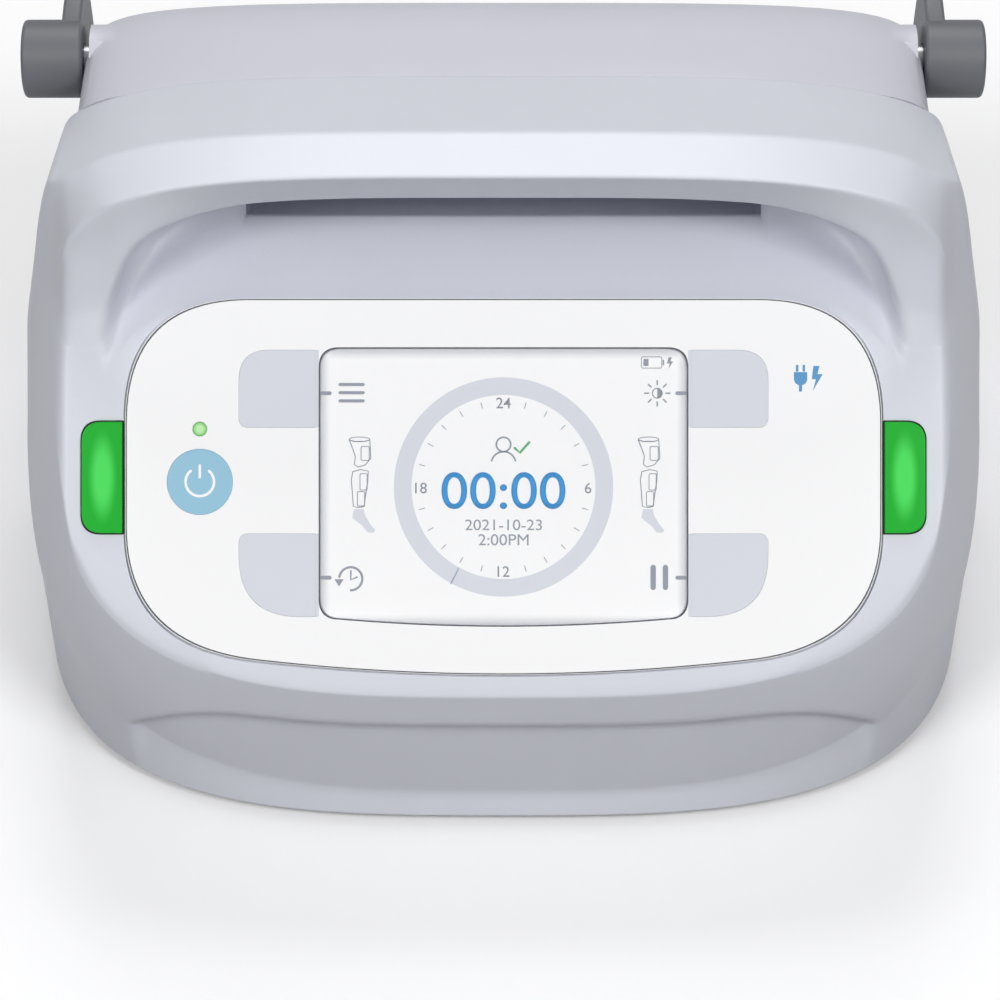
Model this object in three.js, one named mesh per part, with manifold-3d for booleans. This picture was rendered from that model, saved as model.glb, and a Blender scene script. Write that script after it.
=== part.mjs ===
// Compression therapy pump: a desk and bedside air pump with a tilted control panel, a recessed carry grip
// under a hoop, a fold-out bed hook, and everything inside that drives the air.
// Millimetres, +Z up, the front faces -Y, +X is to the right of someone who faces the panel.

import * as THREE from 'three';
import { mergeVertices } from 'three/addons/utils/BufferGeometryUtils.js';
import Module from 'manifold-3d';

const wasm = await Module();
wasm.setup();

// Driving dimensions
const panelTilt = THREE.MathUtils.degToRad(38); // slope of the control panel above the horizontal
const panelHeight = 71; // height of the panel's centre above the floor
const frontReach = 32.2; // from the panel's centre forward to the front wall, level
const hoopReach = 70; // from the panel's centre back to the rear face of the front housing
const rearDepth = 34; // how far the rear housing stands behind the front one
const hoopRise = 55.5; // from the panel's centre up to the hoop's flat top
const bezelMargin = 12.6; // from the panel film out to the bezel's edge
const rollOut = 10.1; // how far the side walls stand out beyond the bezel's edge
const rearInset = 10.8; // how far the rear housing lies inside the side walls
const footHeight = 2.5;
const wall = 2.6; // moulded walls
const gap = 0.3; // clearance between pieces that touch or slide
const overrun = 1; // how far a cutter runs past the face that it opens
const hair = 0.01; // keeps two faces from lying exactly in one plane
const weld = 0.0001; // points closer together than this are one point
const roundSides = 20; // sides of a round piece
const smallSides = 12; // sides of a small round piece
const perCorner = 3; // coordinates of a corner, and corners of a face

// Panel pieces, measured in the panel's own plane
const display = {
  half: 35.7, top: 26.9, bottom: 25.5, bulge: 1.4, round: 4, thick: 1.4,
  frame: 2.9, frameRise: 2.1, moduleThick: 4, boardThick: 1.6, boardInset: 7.8, boardRise: 31,
};
const keyClear = 0.9; // from the window out to the soft keys
const softKey = {
  inner: display.half + keyClear, wide: 15, upperTop: 26.7, upperBottom: 11.6, lowerTop: 9.1, lowerBottom: 25.3,
  bigRound: 6, smallRound: 2, thick: 2.2, stem: 2.2, travel: 0.7,
};
const filmMargin = 22.2; // from the soft keys out to the film's edge
const overlay = {
  half: softKey.inner + softKey.wide + filmMargin, top: 36.8, bottom: 34, bulge: 2.7, thick: 0.8, proud: 0.2,
  topRound: 24, bottomRound: 26,
};
const keyEdge = 14.6; // from the film's edge in to the power key's centre
const powerKey = { x: overlay.half - keyEdge, a: 1, radius: 6.4, thick: 2.2, stem: 2.2, travel: 1 };
const lightRise = 10.3; // from the power key's centre up to the status light
const statusLight = { x: powerKey.x, a: powerKey.a + lightRise, radius: 1.4 };
const lensClear = 0.5; // from the film out to the alarm lenses
const alarm = {
  inner: overlay.half + lensClear, wide: 7.9, top: 12.7, bottom: 9, round: 4, proud: 1, deep: 7,
  boardThick: 1.2, boardInset: 3,
};

// The body's width, reach and height follow the panel
const frameHalf = overlay.half + bezelMargin; // half the width across the bezel's edge
const bodyHalf = frameHalf + rollOut; // half the width across the side walls
const rearHalf = bodyHalf - rearInset; // half the width of the rear housing
const rearReach = hoopReach + rearDepth; // from the panel's centre back to the rear wall
const hoopTop = panelHeight + hoopRise; // height of the hoop's flat top

const tan = Math.tan(panelTilt);
const cos = Math.cos(panelTilt);
const planeZ = (y) => panelHeight + y * tan;

// Body sections: how the side wall rolls away behind the bezel's edge, down to the upright skirt
const skirt = 5.27;
const roll = {
  depth: (planeZ(-frontReach) - footHeight - skirt) * cos, cornerFront: 43, cornerBase: 70, power: 3.2,
};
const rollShares = [0, 0.15, 0.4, 1];
const hoop = {
  foot: 29.5, lip: 30.4, band: 12, backFall: 12.8, power: 4, frontDrop: 40, backDrop: 48, legRise: 1,
  sideFoot: 45.79, sweep: 6, sweepRise: 5, shoulder: 12,
};
const sideDrop = hoopRise - hoop.backFall - hoop.legRise - hoop.sideFoot * tan + roll.depth / cos;
const leanShare = 0.24; // how far the hoop's sides lean in, for their height
const blendPower = 3; // how sharply the hoop's arch turns into its sides
const bandFadeShare = 0.875; // how much of the band's depth is gone at the foot of the hoop's sides
const halfShares = [0, 0.21, 0.42, 0.54, 0.64, 0.73, 0.79, 0.834, 0.87, 0.8953, 0.917, 0.948, 0.98, 1];

// Grip: the scoop in front of the hoop and the finger well behind its lip
const scoopInset = 20.7; // from the side walls in to the scoop's ends
const scoopEnd = 17.8; // over which length each end of the scoop closes
const wellInset = 24.8; // from the scoop's ends in to the finger well's
const lipDrop = 13.7; // from the hoop's top down to its lip
const scoop = {
  half: bodyHalf - scoopInset, start: 28.7, lipX: 37.2, lipZ: hoopTop - lipDrop, floorFront: 23.6, floorBack: 22,
  floorFrontY: 37, backY: 54, backRise: 32,
};
const well = {
  half: scoop.half - wellInset, front: 52.7, backIn: 3.6, floor: 12, lipBack: 41, ceilFront: 50.6,
  ceilBack: 40.6, ceilRise: 44,
};
const recessInset = 26.5; // from the side walls in to the recess
const recessDrop = 36; // from the panel's centre down to the recess's top
const recess = {
  half: bodyHalf - recessInset, top: panelHeight - recessDrop, bottom: 0, deep: 2.4, slant: 5,
};
const frontWall = 4.6; // the front and side walls, thick enough for the recess

const scoopEndShare = 0.99; // how nearly the scoop closes at its ends
const scoopShares = [-1, -0.985, -0.94, -0.87, -0.765, -0.6, -0.35, 0.35, 0.6, 0.765, 0.87, 0.94, 0.985, 1];

const superDrop = (share, power) => 1 - (1 - Math.min(share, 1) ** power) ** (1 / power);

// Solids and geometry

function solid(geometry) {
  const bare = geometry.index ? geometry.toNonIndexed() : geometry.clone();
  for (const name of Object.keys(bare.attributes)) if (name !== 'position') bare.deleteAttribute(name);
  const merged = mergeVertices(bare, weld);
  const index = merged.index.array;
  const faces = [];
  for (let i = 0; i < index.length; i += 3) {
    const [a, b, c] = [index[i], index[i + 1], index[i + 2]];
    if (a !== b && b !== c && c !== a) faces.push(a, b, c);
  }
  return new wasm.Manifold(new wasm.Mesh({
    numProp: 3,
    vertProperties: new Float32Array(merged.attributes.position.array),
    triVerts: new Uint32Array(faces),
  }));
}

function geometryOf(manifold) {
  const mesh = manifold.getMesh();
  const geometry = new THREE.BufferGeometry();
  geometry.setAttribute('position', new THREE.BufferAttribute(new Float32Array(mesh.vertProperties), 3));
  geometry.setIndex(new THREE.BufferAttribute(new Uint32Array(mesh.triVerts), 1));
  const flat = geometry.toNonIndexed();
  flat.computeVertexNormals();
  return flat;
}

const join = (first, ...rest) => rest.reduce((sum, piece) => sum.add(piece), first);
const cut = (first, ...rest) => rest.reduce((left, piece) => left.subtract(piece), first);

// A block given by its lowest and highest corners
function block(low, high) {
  const size = high.map((value, i) => value - low[i]);
  const geometry = new THREE.BoxGeometry(...size);
  geometry.translate(...low.map((value, i) => value + size[i] / 2));
  return solid(geometry);
}

// A round bar along X, Y or Z from one end to the other
function bar(axis, radius, from, to, centre, sides = roundSides) {
  const geometry = new THREE.CylinderGeometry(radius, radius, to - from, sides);
  geometry.translate(0, (from + to) / 2, 0);
  if (axis === 'x') geometry.rotateZ(-Math.PI / 2).translate(0, centre[0], centre[1]);
  if (axis === 'y') geometry.translate(centre[0], 0, centre[1]);
  if (axis === 'z') geometry.rotateX(Math.PI / 2).translate(centre[0], centre[1], 0);
  return solid(geometry);
}

// A flat outline raised along Z from low to high
function raised(shape, low, high, curveSegments = 5) {
  const depth = high - low;
  const geometry = new THREE.ExtrudeGeometry(shape, { depth, bevelEnabled: false, curveSegments });
  geometry.translate(0, 0, low);
  return solid(geometry);
}

// A rounded rectangle; round is one radius, or four from the top right, clockwise
function roundedRect(left, bottom, right, top, round) {
  const [tr, br, bl, tl] = Array.isArray(round) ? round : [round, round, round, round];
  const shape = new THREE.Shape();
  shape.moveTo(left + tl, top);
  shape.lineTo(right - tr, top);
  shape.quadraticCurveTo(right, top, right, top - tr);
  shape.lineTo(right, bottom + br);
  shape.quadraticCurveTo(right, bottom, right - br, bottom);
  shape.lineTo(left + bl, bottom);
  shape.quadraticCurveTo(left, bottom, left, bottom + bl);
  shape.lineTo(left, top - tl);
  shape.quadraticCurveTo(left, top, left + tl, top);
  return shape;
}

// Closed rings of equally many points, joined into one body; flat names the axis that the end caps face
function loft(rings, flat) {
  const positions = [];
  const count = rings[0].length;
  const put = (...points) => points.forEach((point) => positions.push(...point));
  for (let r = 0; r + 1 < rings.length; r += 1) {
    for (let i = 0; i < count; i += 1) {
      const j = (i + 1) % count;
      put(rings[r][i], rings[r][j], rings[r + 1][j]);
      put(rings[r][i], rings[r + 1][j], rings[r + 1][i]);
    }
  }
  const seen = (ring) => ring.map((p) => new THREE.Vector2(...p.filter((value, axis) => axis !== flat)));
  const area = (points) => THREE.ShapeUtils.area(points);
  const cap = (ring, along) => {
    const flatRing = seen(ring);
    const faces = THREE.ShapeUtils.triangulateShape(flatRing.slice(), []);
    const total = faces.reduce((sum, face) => sum + area(face.map((i) => flatRing[i])), 0);
    const runs = total * area(flatRing) > 0;
    for (const face of faces) put(...(runs === along ? face : face.toReversed()).map((i) => ring[i]));
  };
  cap(rings[0], false);
  cap(rings[rings.length - 1], true);
  const geometry = new THREE.BufferGeometry();
  geometry.setAttribute('position', new THREE.Float32BufferAttribute(positions, 3));
  const body = solid(geometry);
  if (body.volume() > 0) return body;
  const faces = geometry.attributes.position.array;
  for (let start = 0; start < faces.length; start += perCorner * perCorner) {
    const corner = (i) => [...faces.slice(start + i * perCorner, start + (i + 1) * perCorner)];
    faces.set([0, 2, 1].flatMap(corner), start);
  }
  return solid(geometry);
}

// The housings

// Half-width at a depth behind the bezel's edge, and the depth at which the wall reaches a half-width
const widthAt = (depth) =>
  frameHalf + (bodyHalf - frameHalf) * (1 - (1 - Math.min(depth / roll.depth, 1)) ** 2);
function depthAt(x) {
  const share = (x - frameHalf) / (bodyHalf - frameHalf);
  return share <= 0 ? 0 : roll.depth * (1 - Math.sqrt(1 - Math.min(share, 1)));
}

// Front outline in plan at a depth behind the bezel's edge
function frontY(x, depth, inset) {
  const share = Math.min(depth / roll.depth, 1);
  const corner = roll.cornerFront + (roll.cornerBase - roll.cornerFront) * share;
  return inset - frontReach + corner * superDrop(x / (widthAt(depth) - inset), roll.power);
}

// Zero, then the value, with a bend between them that is soft on each side
function softRamp(value, soft) {
  if (Math.abs(value) >= soft) return Math.max(value, 0);
  return (value + soft) ** 2 / (soft * 4);
}

// How far the hoop's top has fallen at a distance x from the middle, at a depth behind the bezel's edge
function arch(x, depth, most) {
  const share = Math.min(depth / hoop.band, 1);
  const drop = hoop.frontDrop + (hoop.backDrop - hoop.frontDrop) * share;
  const round = drop * superDrop(x / widthAt(depth), hoop.power);
  const lean = leanShare * Math.min(depth / roll.depth, 1);
  const side = lean > 0 ? Math.max(most - (widthAt(depth) - x) / lean, 0) : 0;
  const fall = (round ** blendPower + side ** blendPower) ** (1 / blendPower);
  return fall - softRamp(fall - most, hoop.shoulder);
}

// Side view of the front housing at a distance x from the middle
function outerRing(x) {
  const half = Math.abs(x);
  const near = depthAt(half);
  const front = rollShares.map((share) => {
    const depth = near + (roll.depth - near) * share;
    const y = frontY(half, depth, 0);
    return [x, y, planeZ(y) - depth / cos];
  }).reverse();
  const bandDepth = near + hoop.band * (1 - (bandFadeShare * near) / roll.depth);
  const rearTop = hoopTop - hoop.backFall - arch(half, roll.depth, sideDrop);
  const footZ = Math.min(planeZ(hoop.foot + near) - near / cos, rearTop - hoop.legRise);
  const foot = (footZ - panelHeight + near / cos) / tan;
  const most = hoopTop - footZ - hoop.legRise;
  const lip = hoop.lip - hoop.foot + foot;
  const lipZ = hoopTop - arch(half, near, most);
  const rise = Math.min(hoop.sweepRise, (lipZ - footZ) / 2);
  const sweep = Math.min(hoop.sweep, rise);
  return [
    [x, frontY(half, roll.depth, 0), footHeight],
    ...front,
    [x, foot - sweep, footZ - sweep * tan],
    [x, foot, footZ + rise],
    [x, lip, lipZ],
    [x, lip + bandDepth - near, hoopTop - arch(half, bandDepth, most)],
    [x, hoopReach, rearTop],
    [x, hoopReach, footHeight],
  ];
}

// The room inside the front housing
const cavity = { top: 19, topY: 34, underWell: 8.6, wellY: 49.5, panelWall: 4.6 };
function innerRing(x) {
  const half = Math.abs(x);
  const near = depthAt(half + frontWall);
  const front = rollShares.map((share) => {
    const depth = near + (roll.depth - near) * share;
    const y = frontY(half, depth, frontWall);
    return [x, y, planeZ(y) - (depth + cavity.panelWall) / cos];
  }).reverse();
  const foot = Math.max(front[front.length - 1][1] + wall, cavity.topY - wall);
  const rise = Math.min(panelHeight + cavity.top, planeZ(foot) - (near + cavity.panelWall) / cos);
  const under = Math.min(rise, panelHeight + cavity.underWell);
  return [
    [x, frontY(half, roll.depth, frontWall), footHeight - overrun],
    ...front,
    [x, foot, rise],
    [x, Math.max(cavity.wellY, foot + wall), rise],
    [x, Math.max(cavity.wellY, foot + wall) + gap, under],
    [x, hoopReach - wall, under],
    [x, hoopReach - wall, footHeight - overrun],
  ];
}

function stations(half) {
  const right = halfShares.slice(1).map((share) => share * half);
  return [...right.map((x) => -x).reverse(), 0, ...right];
}

// The scoop's side view; it closes in towards the legs of the hoop
function scoopRing(x) {
  const past = Math.max(Math.abs(x) - scoop.half + scoopEnd, 0) / scoopEnd;
  const open = Math.sqrt(1 - scoopEndShare * past * past);
  const pull = (y, z) => [x, scoop.start + (y - scoop.start) * open, z];
  const low = (y, rise) => pull(y, panelHeight + rise);
  const clear = hoop.lip - hoop.foot;
  return [
    [x, scoop.start, planeZ(scoop.start) - clear * open],
    low(scoop.floorFrontY, scoop.floorFront),
    low((scoop.floorFrontY + scoop.backY) / 2, (scoop.floorFront + scoop.floorBack) / 2 - gap),
    low(scoop.backY, scoop.floorBack),
    low(scoop.backY + clear, scoop.backRise),
    pull(scoop.backY - clear, (panelHeight + scoop.backRise + scoop.lipZ) / 2),
    pull((scoop.backY + scoop.lipX) / 2, scoop.lipZ),
    pull(scoop.lipX, scoop.lipZ),
    [x, scoop.start + (hoop.lip - hair - scoop.start) * open, hoopTop + overrun],
    [x, scoop.start - overrun * 2, hoopTop + overrun],
    [x, scoop.start - overrun * 2, planeZ(scoop.start) + overrun],
  ];
}

function wellRing(x) {
  const back = hoopReach - well.backIn;
  return [
    [x, well.front, panelHeight + well.floor],
    [x, back, panelHeight + well.floor],
    [x, back, panelHeight + well.ceilBack],
    [x, well.ceilRise, panelHeight + well.ceilFront],
    [x, well.lipBack, panelHeight + well.ceilFront - overrun],
    [x, well.lipBack, scoop.lipZ - overrun],
    [x, well.front - overrun, panelHeight + scoop.backRise],
  ];
}

// The recess follows the front wall's curve and fades out at its ends
const recessXShares = [-1, -0.9, -0.7, -0.45, 0, 0.45, 0.7, 0.9, 1];
function recessRing(x) {
  const face = frontY(Math.abs(x), roll.depth, 0);
  const deep = Math.abs(x) >= recess.half ? gap : recess.deep;
  return [
    [x, face - overrun, recess.bottom],
    [x, face + deep, recess.bottom],
    [x, face + deep, recess.top - recess.slant],
    [x, face - overrun / 2, recess.top],
    [x, face - overrun, recess.top],
  ];
}

// Puts a solid that was drawn flat into the panel's plane
function onPanel(body) {
  const place = new THREE.Matrix4().makeRotationX(panelTilt).setPosition(0, 0, panelHeight);
  return solid(geometryOf(body).applyMatrix4(place));
}

function overlayShape(grow) {
  const shape = new THREE.Shape();
  const half = overlay.half + grow;
  const top = overlay.top + grow;
  const bottom = -overlay.bottom - grow;
  const lowest = bottom - overlay.bulge * 2;
  shape.moveTo(-half + overlay.topRound, top);
  shape.lineTo(half - overlay.topRound, top);
  shape.quadraticCurveTo(half, top, half, top - overlay.topRound);
  shape.lineTo(half, bottom + overlay.bottomRound);
  shape.quadraticCurveTo(half, bottom + overlay.bulge, half - overlay.bottomRound, bottom);
  shape.quadraticCurveTo(0, lowest, overlay.bottomRound - half, bottom);
  shape.quadraticCurveTo(-half, bottom + overlay.bulge, -half, bottom + overlay.bottomRound);
  shape.lineTo(-half, top - overlay.topRound);
  shape.quadraticCurveTo(-half, top, -half + overlay.topRound, top);
  return shape;
}

function windowShape(grow) {
  const shape = new THREE.Shape();
  const half = display.half + grow;
  const top = display.top + grow;
  const bottom = -display.bottom - grow;
  const round = display.round;
  shape.moveTo(round - half, top);
  shape.lineTo(half - round, top);
  shape.quadraticCurveTo(half, top, half, top - round);
  shape.lineTo(half, bottom + round);
  shape.quadraticCurveTo(half, bottom, half - round, bottom);
  shape.quadraticCurveTo(0, bottom - display.bulge * 2, round - half, bottom);
  shape.quadraticCurveTo(-half, bottom, -half, bottom + round);
  shape.lineTo(-half, top - round);
  shape.quadraticCurveTo(-half, top, round - half, top);
  return shape;
}

// side is -1 left or 1 right, upper is true for the keys above
function softKeyShape(side, upper, grow) {
  const outer = softKey.inner + softKey.wide;
  const left = side < 0 ? -outer - grow : softKey.inner - grow;
  const right = side < 0 ? -softKey.inner + grow : outer + grow;
  const top = (upper ? softKey.upperTop : -softKey.lowerTop) + grow;
  const bottom = (upper ? softKey.upperBottom : -softKey.lowerBottom) - grow;
  const big = softKey.bigRound;
  const small = softKey.smallRound;
  const fine = gap;
  const left4 = upper ? [fine, fine, small, big] : [fine, fine, big * 2, small];
  const right4 = upper ? [big, small, fine, fine] : [small, big * 2, fine, fine];
  return roundedRect(left, bottom, right, top, side < 0 ? left4 : right4);
}

function alarmShape(side, grow) {
  const outer = alarm.inner + alarm.wide;
  const left = (side < 0 ? -outer : alarm.inner) - grow;
  const right = (side < 0 ? -alarm.inner : outer) + grow;
  const fine = gap;
  const round = alarm.round;
  const corners = side < 0 ? [fine, fine, round, round] : [round, round, fine, fine];
  return roundedRect(left, -alarm.bottom - grow, right, alarm.top + grow, corners);
}

const sides = [-1, 1];
const softKeys = sides.flatMap((side) => [true, false].map((upper) => ({ side, upper })));
const pocketFloor = overlay.proud - overlay.thick - gap;
const panelBack = -cavity.panelWall - overrun;
const panelRise = 4; // how far the panel's cutters stand above it

function frontHousing() {
  const outer = loft(stations(bodyHalf).map(outerRing), 0);
  const shell = cut(outer, loft(stations(bodyHalf - frontWall).map(innerRing), 0));
  const { half } = rearOpening;
  const doorway = roundedRect(-half, footHeight - overrun, half, rearOpening.top, wall);
  const backDoor = solid(geometryOf(raised(doorway, 0, wall + overrun * 2)).rotateX(Math.PI / 2)
    .translate(0, hoopReach + overrun, 0));
  const frontCut = loft(recessXShares.map((share) => recessRing(share * recess.half)), 0);
  const holes = [
    raised(overlayShape(gap), pocketFloor, panelRise, 8),
    raised(windowShape(-gap), panelBack, 0),
    bar('z', powerKey.radius + gap, panelBack, 0, [-powerKey.x, powerKey.a]),
    bar('z', statusLight.radius + gap, panelBack, 0, [-statusLight.x, statusLight.a], smallSides),
    ...softKeys.map(({ side, upper }) => raised(softKeyShape(side, upper, gap), panelBack, 0)),
    ...sides.map((side) => raised(alarmShape(side, gap), -alarm.deep - overrun, panelRise)),
  ].map(onPanel);
  const bosses = join(...housingBosses.map((spot) => bossToWall(...spot)));
  const grip = loft(scoopShares.map((share) => scoopRing(share * scoop.half)), 0);
  const fingers = loft([-well.half, well.half].map(wellRing), 0);
  return cut(join(shell, bosses), grip, fingers, backDoor, frontCut, ...holes);
}

// Screw bosses stand beside the side walls and are tied to them by a web
const boss = {
  radius: 4, low: 6, high: 26, web: 2.4, bore: 1.8, boreDeep: 12,
  frontIn: 18.5, frontY: -3, webIn: 7.5, rearIn: 8.5, rearWall: 7.5,
};
const housingBosses = [-1, 1].flatMap((side) => [
  [side * (bodyHalf - boss.frontIn), boss.frontY, side * (bodyHalf - boss.webIn)],
  [side * (bodyHalf - boss.rearIn), hoopReach - boss.rearWall, side * (bodyHalf - wall / 2)],
]);
function bossToWall(x, y, outward) {
  const [left, right] = [Math.min(x, outward), Math.max(x, outward)];
  const web = block([left, y - boss.web / 2, boss.low], [right, y + boss.web / 2, boss.high]);
  const bore = bar('z', boss.bore, boss.low - overrun, boss.low + boss.boreDeep, [x, y], smallSides);
  return cut(join(bar('z', boss.radius, boss.low, boss.high, [x, y], smallSides), web), bore);
}

// Rear housing: the arch carried back from the front housing, with a bay in which the folded hook lies
const throat = { inset: 5.7, rise: 6 }; // the opening between the two housings, inside the rear one's width
const rearOpening = { half: rearHalf - throat.inset, top: panelHeight + throat.rise };
const rearDrop = 16; // from the hoop's top down to the rear housing's
const bayDrop = 25; // from the panel's centre down to the hook bay's top
const rear = {
  start: hoopReach + gap, top: hoopTop - rearDrop, drop: 14, slope: 6, bayDeep: 12, bayTop: panelHeight - bayDrop,
  edge: 7,
};
const rearEdgeShares = [[1, 0], [0.43, 0.17], [0.11, 0.49]]; // the rounded edge, back and inwards
const rearYs = [
  { y: rear.start, inset: 0 },
  ...rearEdgeShares.map(([back, share]) => ({ y: rearReach - rear.edge * back, inset: rear.edge * share })),
  { y: rearReach, inset: rear.edge },
];
const rearShares = [1, 0.98, 0.93, 0.85, 0.72, 0.5, 0.25];
function rearRing(y, inset, low) {
  const half = rearHalf - inset;
  const top = rear.top - inset - (rear.slope * (y - rear.start)) / (rearReach - rear.start);
  const right = rearShares.map((share) => [share * half, top - rear.drop * superDrop(share, hoop.power)]);
  const left = right.map(([x, z]) => [-x, z]).reverse();
  const outline = [[half, low], ...right, [0, top], ...left, [-half, low]];
  return outline.map(([x, z]) => [x, y, z]);
}

const socketDrop = 8; // from the panel's centre down to the rear sockets
const port = {
  x: 16, pitch: 30, z: panelHeight - socketDrop, radius: 9, flange: 11, flangeThick: 2, bore: 6.4, deep: 13,
  neck: 3, reach: 12,
};
const inlet = {
  x: -48, z: port.z, half: 14, rise: 10, flange: 17, flangeRise: 13, wall: 2, deep: 15, reach: 20,
};
const socketIn = rearReach - wall * 2 - overrun; // where the cutters for the rear sockets start
const hingeIn = 11; // from the rear wall forward to the hook's pins
const hingeRise = 24; // from the panel's centre up to the hook's pins
const hubOut = 12.9; // how far the hook's hubs stand out beside the rear housing
const bossDeep = 11.7; // how far the pins' bosses reach into the rear housing
const hinge = {
  y: rearReach - hingeIn, z: panelHeight + hingeRise, pin: 3, hub: 8, inner: rearHalf + gap,
  outer: rearHalf + hubOut, boss: 7, bossIn: rearHalf - bossDeep,
};
const pinHead = { radius: 4.2, thick: 2 };
const spanTo = (side, from, to) => (side < 0 ? [-to, -from] : [from, to]);

function rearHousing() {
  const outer = loft(rearYs.map(({ y, inset }) => rearRing(y, inset, footHeight)), 1);
  const innerYs = [{ y: rear.start - overrun, inset: wall }, ...rearYs.slice(1, 3).map(({ y, inset }) => (
    { y: y - wall / 2, inset: inset + wall }))];
  const inner = loft(innerYs.map(({ y, inset }) => rearRing(y, inset, footHeight - overrun)), 1);
  const bay = (grow) => block(
    [-bodyHalf, rearReach - rear.bayDeep - grow, 0],
    [bodyHalf, rearReach + overrun, rear.bayTop + grow],
  );
  const hubs = join(...sides.map((side) => bar('x', hinge.boss, ...spanTo(side, hinge.bossIn, rearHalf),
    [hinge.y, hinge.z]))).intersect(outer);
  const shell = join(cut(outer, bay(0), cut(inner, bay(wall))), hubs);
  const holes = [
    ...ports.map(({ x }) => bar('y', port.radius + gap, socketIn, rearReach + overrun, [x, port.z])),
    block([inlet.x - inlet.half - gap, socketIn, inlet.z - inlet.rise - gap],
      [inlet.x + inlet.half + gap, rearReach + overrun, inlet.z + inlet.rise + gap]),
    ...sides.map((side) => spanTo(side, hinge.bossIn - overrun, rearHalf + overrun))
      .map((span) => bar('x', hinge.pin + gap, ...span, [hinge.y, hinge.z], smallSides)),
  ];
  return cut(shell, ...holes);
}
const ports = [{ name: 'air_port_a', x: port.x }, { name: 'air_port_b', x: port.x + port.pitch }];

// Base plate with its posts, the battery door's opening and the speaker's sound holes
const base = {
  thick: 3, neckHalf: rearOpening.half - gap * 2, back: rearReach - rear.bayDeep - wall - gap * 2,
  postRadius: 3.4,
};
const baseTop = footHeight + base.thick;
const boardBack = 10; // from the front housing's rear face forward to the main board
const boardDrop = 11; // from the panel's centre down to the main board
const batteryIn = 10.5; // from the side wall in to the battery
const batteryWide = 29;
const battery = {
  left: batteryIn - bodyHalf, right: batteryIn + batteryWide - bodyHalf, front: 6, back: 58, low: 5.8, high: 30,
};
const postClear = 6; // from the compressor's heads out to the main board's posts
const postSide = 8; // from the main board's posts out to the battery
const pumpOut = -battery.right - postSide - postClear; // half the compressor's width, with its heads
const mainBoard = {
  front: 13, back: hoopReach - boardBack, z: panelHeight - boardDrop, thick: 1.6, edge: 9,
  chipIn: 10, chipOut: 32, chipFront: 24, chipBack: 6, chipHigh: 4, postFront: 5, postBack: 4,
};
const mainBoardHalf = pumpOut + postClear + mainBoard.edge;
const boardPosts = [-1, 1].flatMap((side) => [mainBoard.front + mainBoard.postFront,
  mainBoard.back - mainBoard.postBack].map((y) => [side * (pumpOut + postClear), y]));
const sensor = { half: 6, front: 16, back: 6, high: 7 };
const blockClear = 2; // from the front housing's rear face back to the valve block
const blockDeep = 12;
const blockDrop = 17; // from the panel's centre down to the valve block
const blockHigh = 16;
const manifold = {
  left: 2, right: 60, front: hoopReach + blockClear, back: hoopReach + blockClear + blockDeep,
  low: panelHeight - blockDrop, high: panelHeight - blockDrop + blockHigh, post: 4, postIn: 6,
};
const manifoldPosts = [manifold.left + manifold.postIn, manifold.right - manifold.postIn]
  .map((x) => [x, (manifold.front + manifold.back) / 2]);
const door = {
  left: battery.left + base.thick, right: battery.right - overrun, front: 12, back: 60, screwIn: 4,
};
const supplyIn = 13.5; // from the side wall in to the power supply
const supplyWide = 26;
const supplyBack = 4; // from the front housing's rear face forward to the power supply
const supply = {
  left: bodyHalf - supplyIn - supplyWide, right: bodyHalf - supplyIn, front: 34, back: hoopReach - supplyBack,
  postZ: 9, thick: 1.6, partsHigh: 32,
};
const headDeep = 20; // how far each of the compressor's heads stands out beside its body
const pumpHalf = pumpOut - headDeep;
const pumpLow = 14;
const pumpClear = 10; // from the compressor up to the main board
const pumpHigh = mainBoard.z - pumpClear;
const pump = {
  half: pumpHalf, front: 8, back: 52, low: pumpLow, high: pumpHigh, slot: 5.1, slotZ: (pumpLow + pumpHigh) / 2,
  headOut: pumpOut, headHalf: 17, headRise: 17, headWall: 6, chamber: 14, rod: 4.8, disc: 12.6, discGap: 4,
  discThick: 3, mountHalf: 8,
};
const discIn = pump.half + pump.discGap;
const speaker = { x: 30, y: -10, radius: 12, high: 13, hole: 1.5, holePitch: 6 };
const foot = { radius: 7, seat: 1, frontIn: 34.5, frontY: -4, rearIn: 14, rearBack: 24 };
const feet = [
  [foot.frontIn - bodyHalf, foot.frontY], [bodyHalf - foot.frontIn, foot.frontY],
  [foot.rearIn - rearOpening.half, rearReach - foot.rearBack],
  [rearOpening.half - foot.rearIn, rearReach - foot.rearBack],
];
const baseScrews = housingBosses;
const screw = { shank: 1.4, head: 2.8, sunk: 1.8, headThick: 1.5, reach: 14 };

const screwHoles = (spot) => [
  bar('z', screw.shank + gap, footHeight - overrun, baseTop + overrun, spot, smallSides),
  bar('z', screw.head + gap, footHeight - overrun, footHeight + screw.sunk, spot, smallSides),
];

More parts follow.
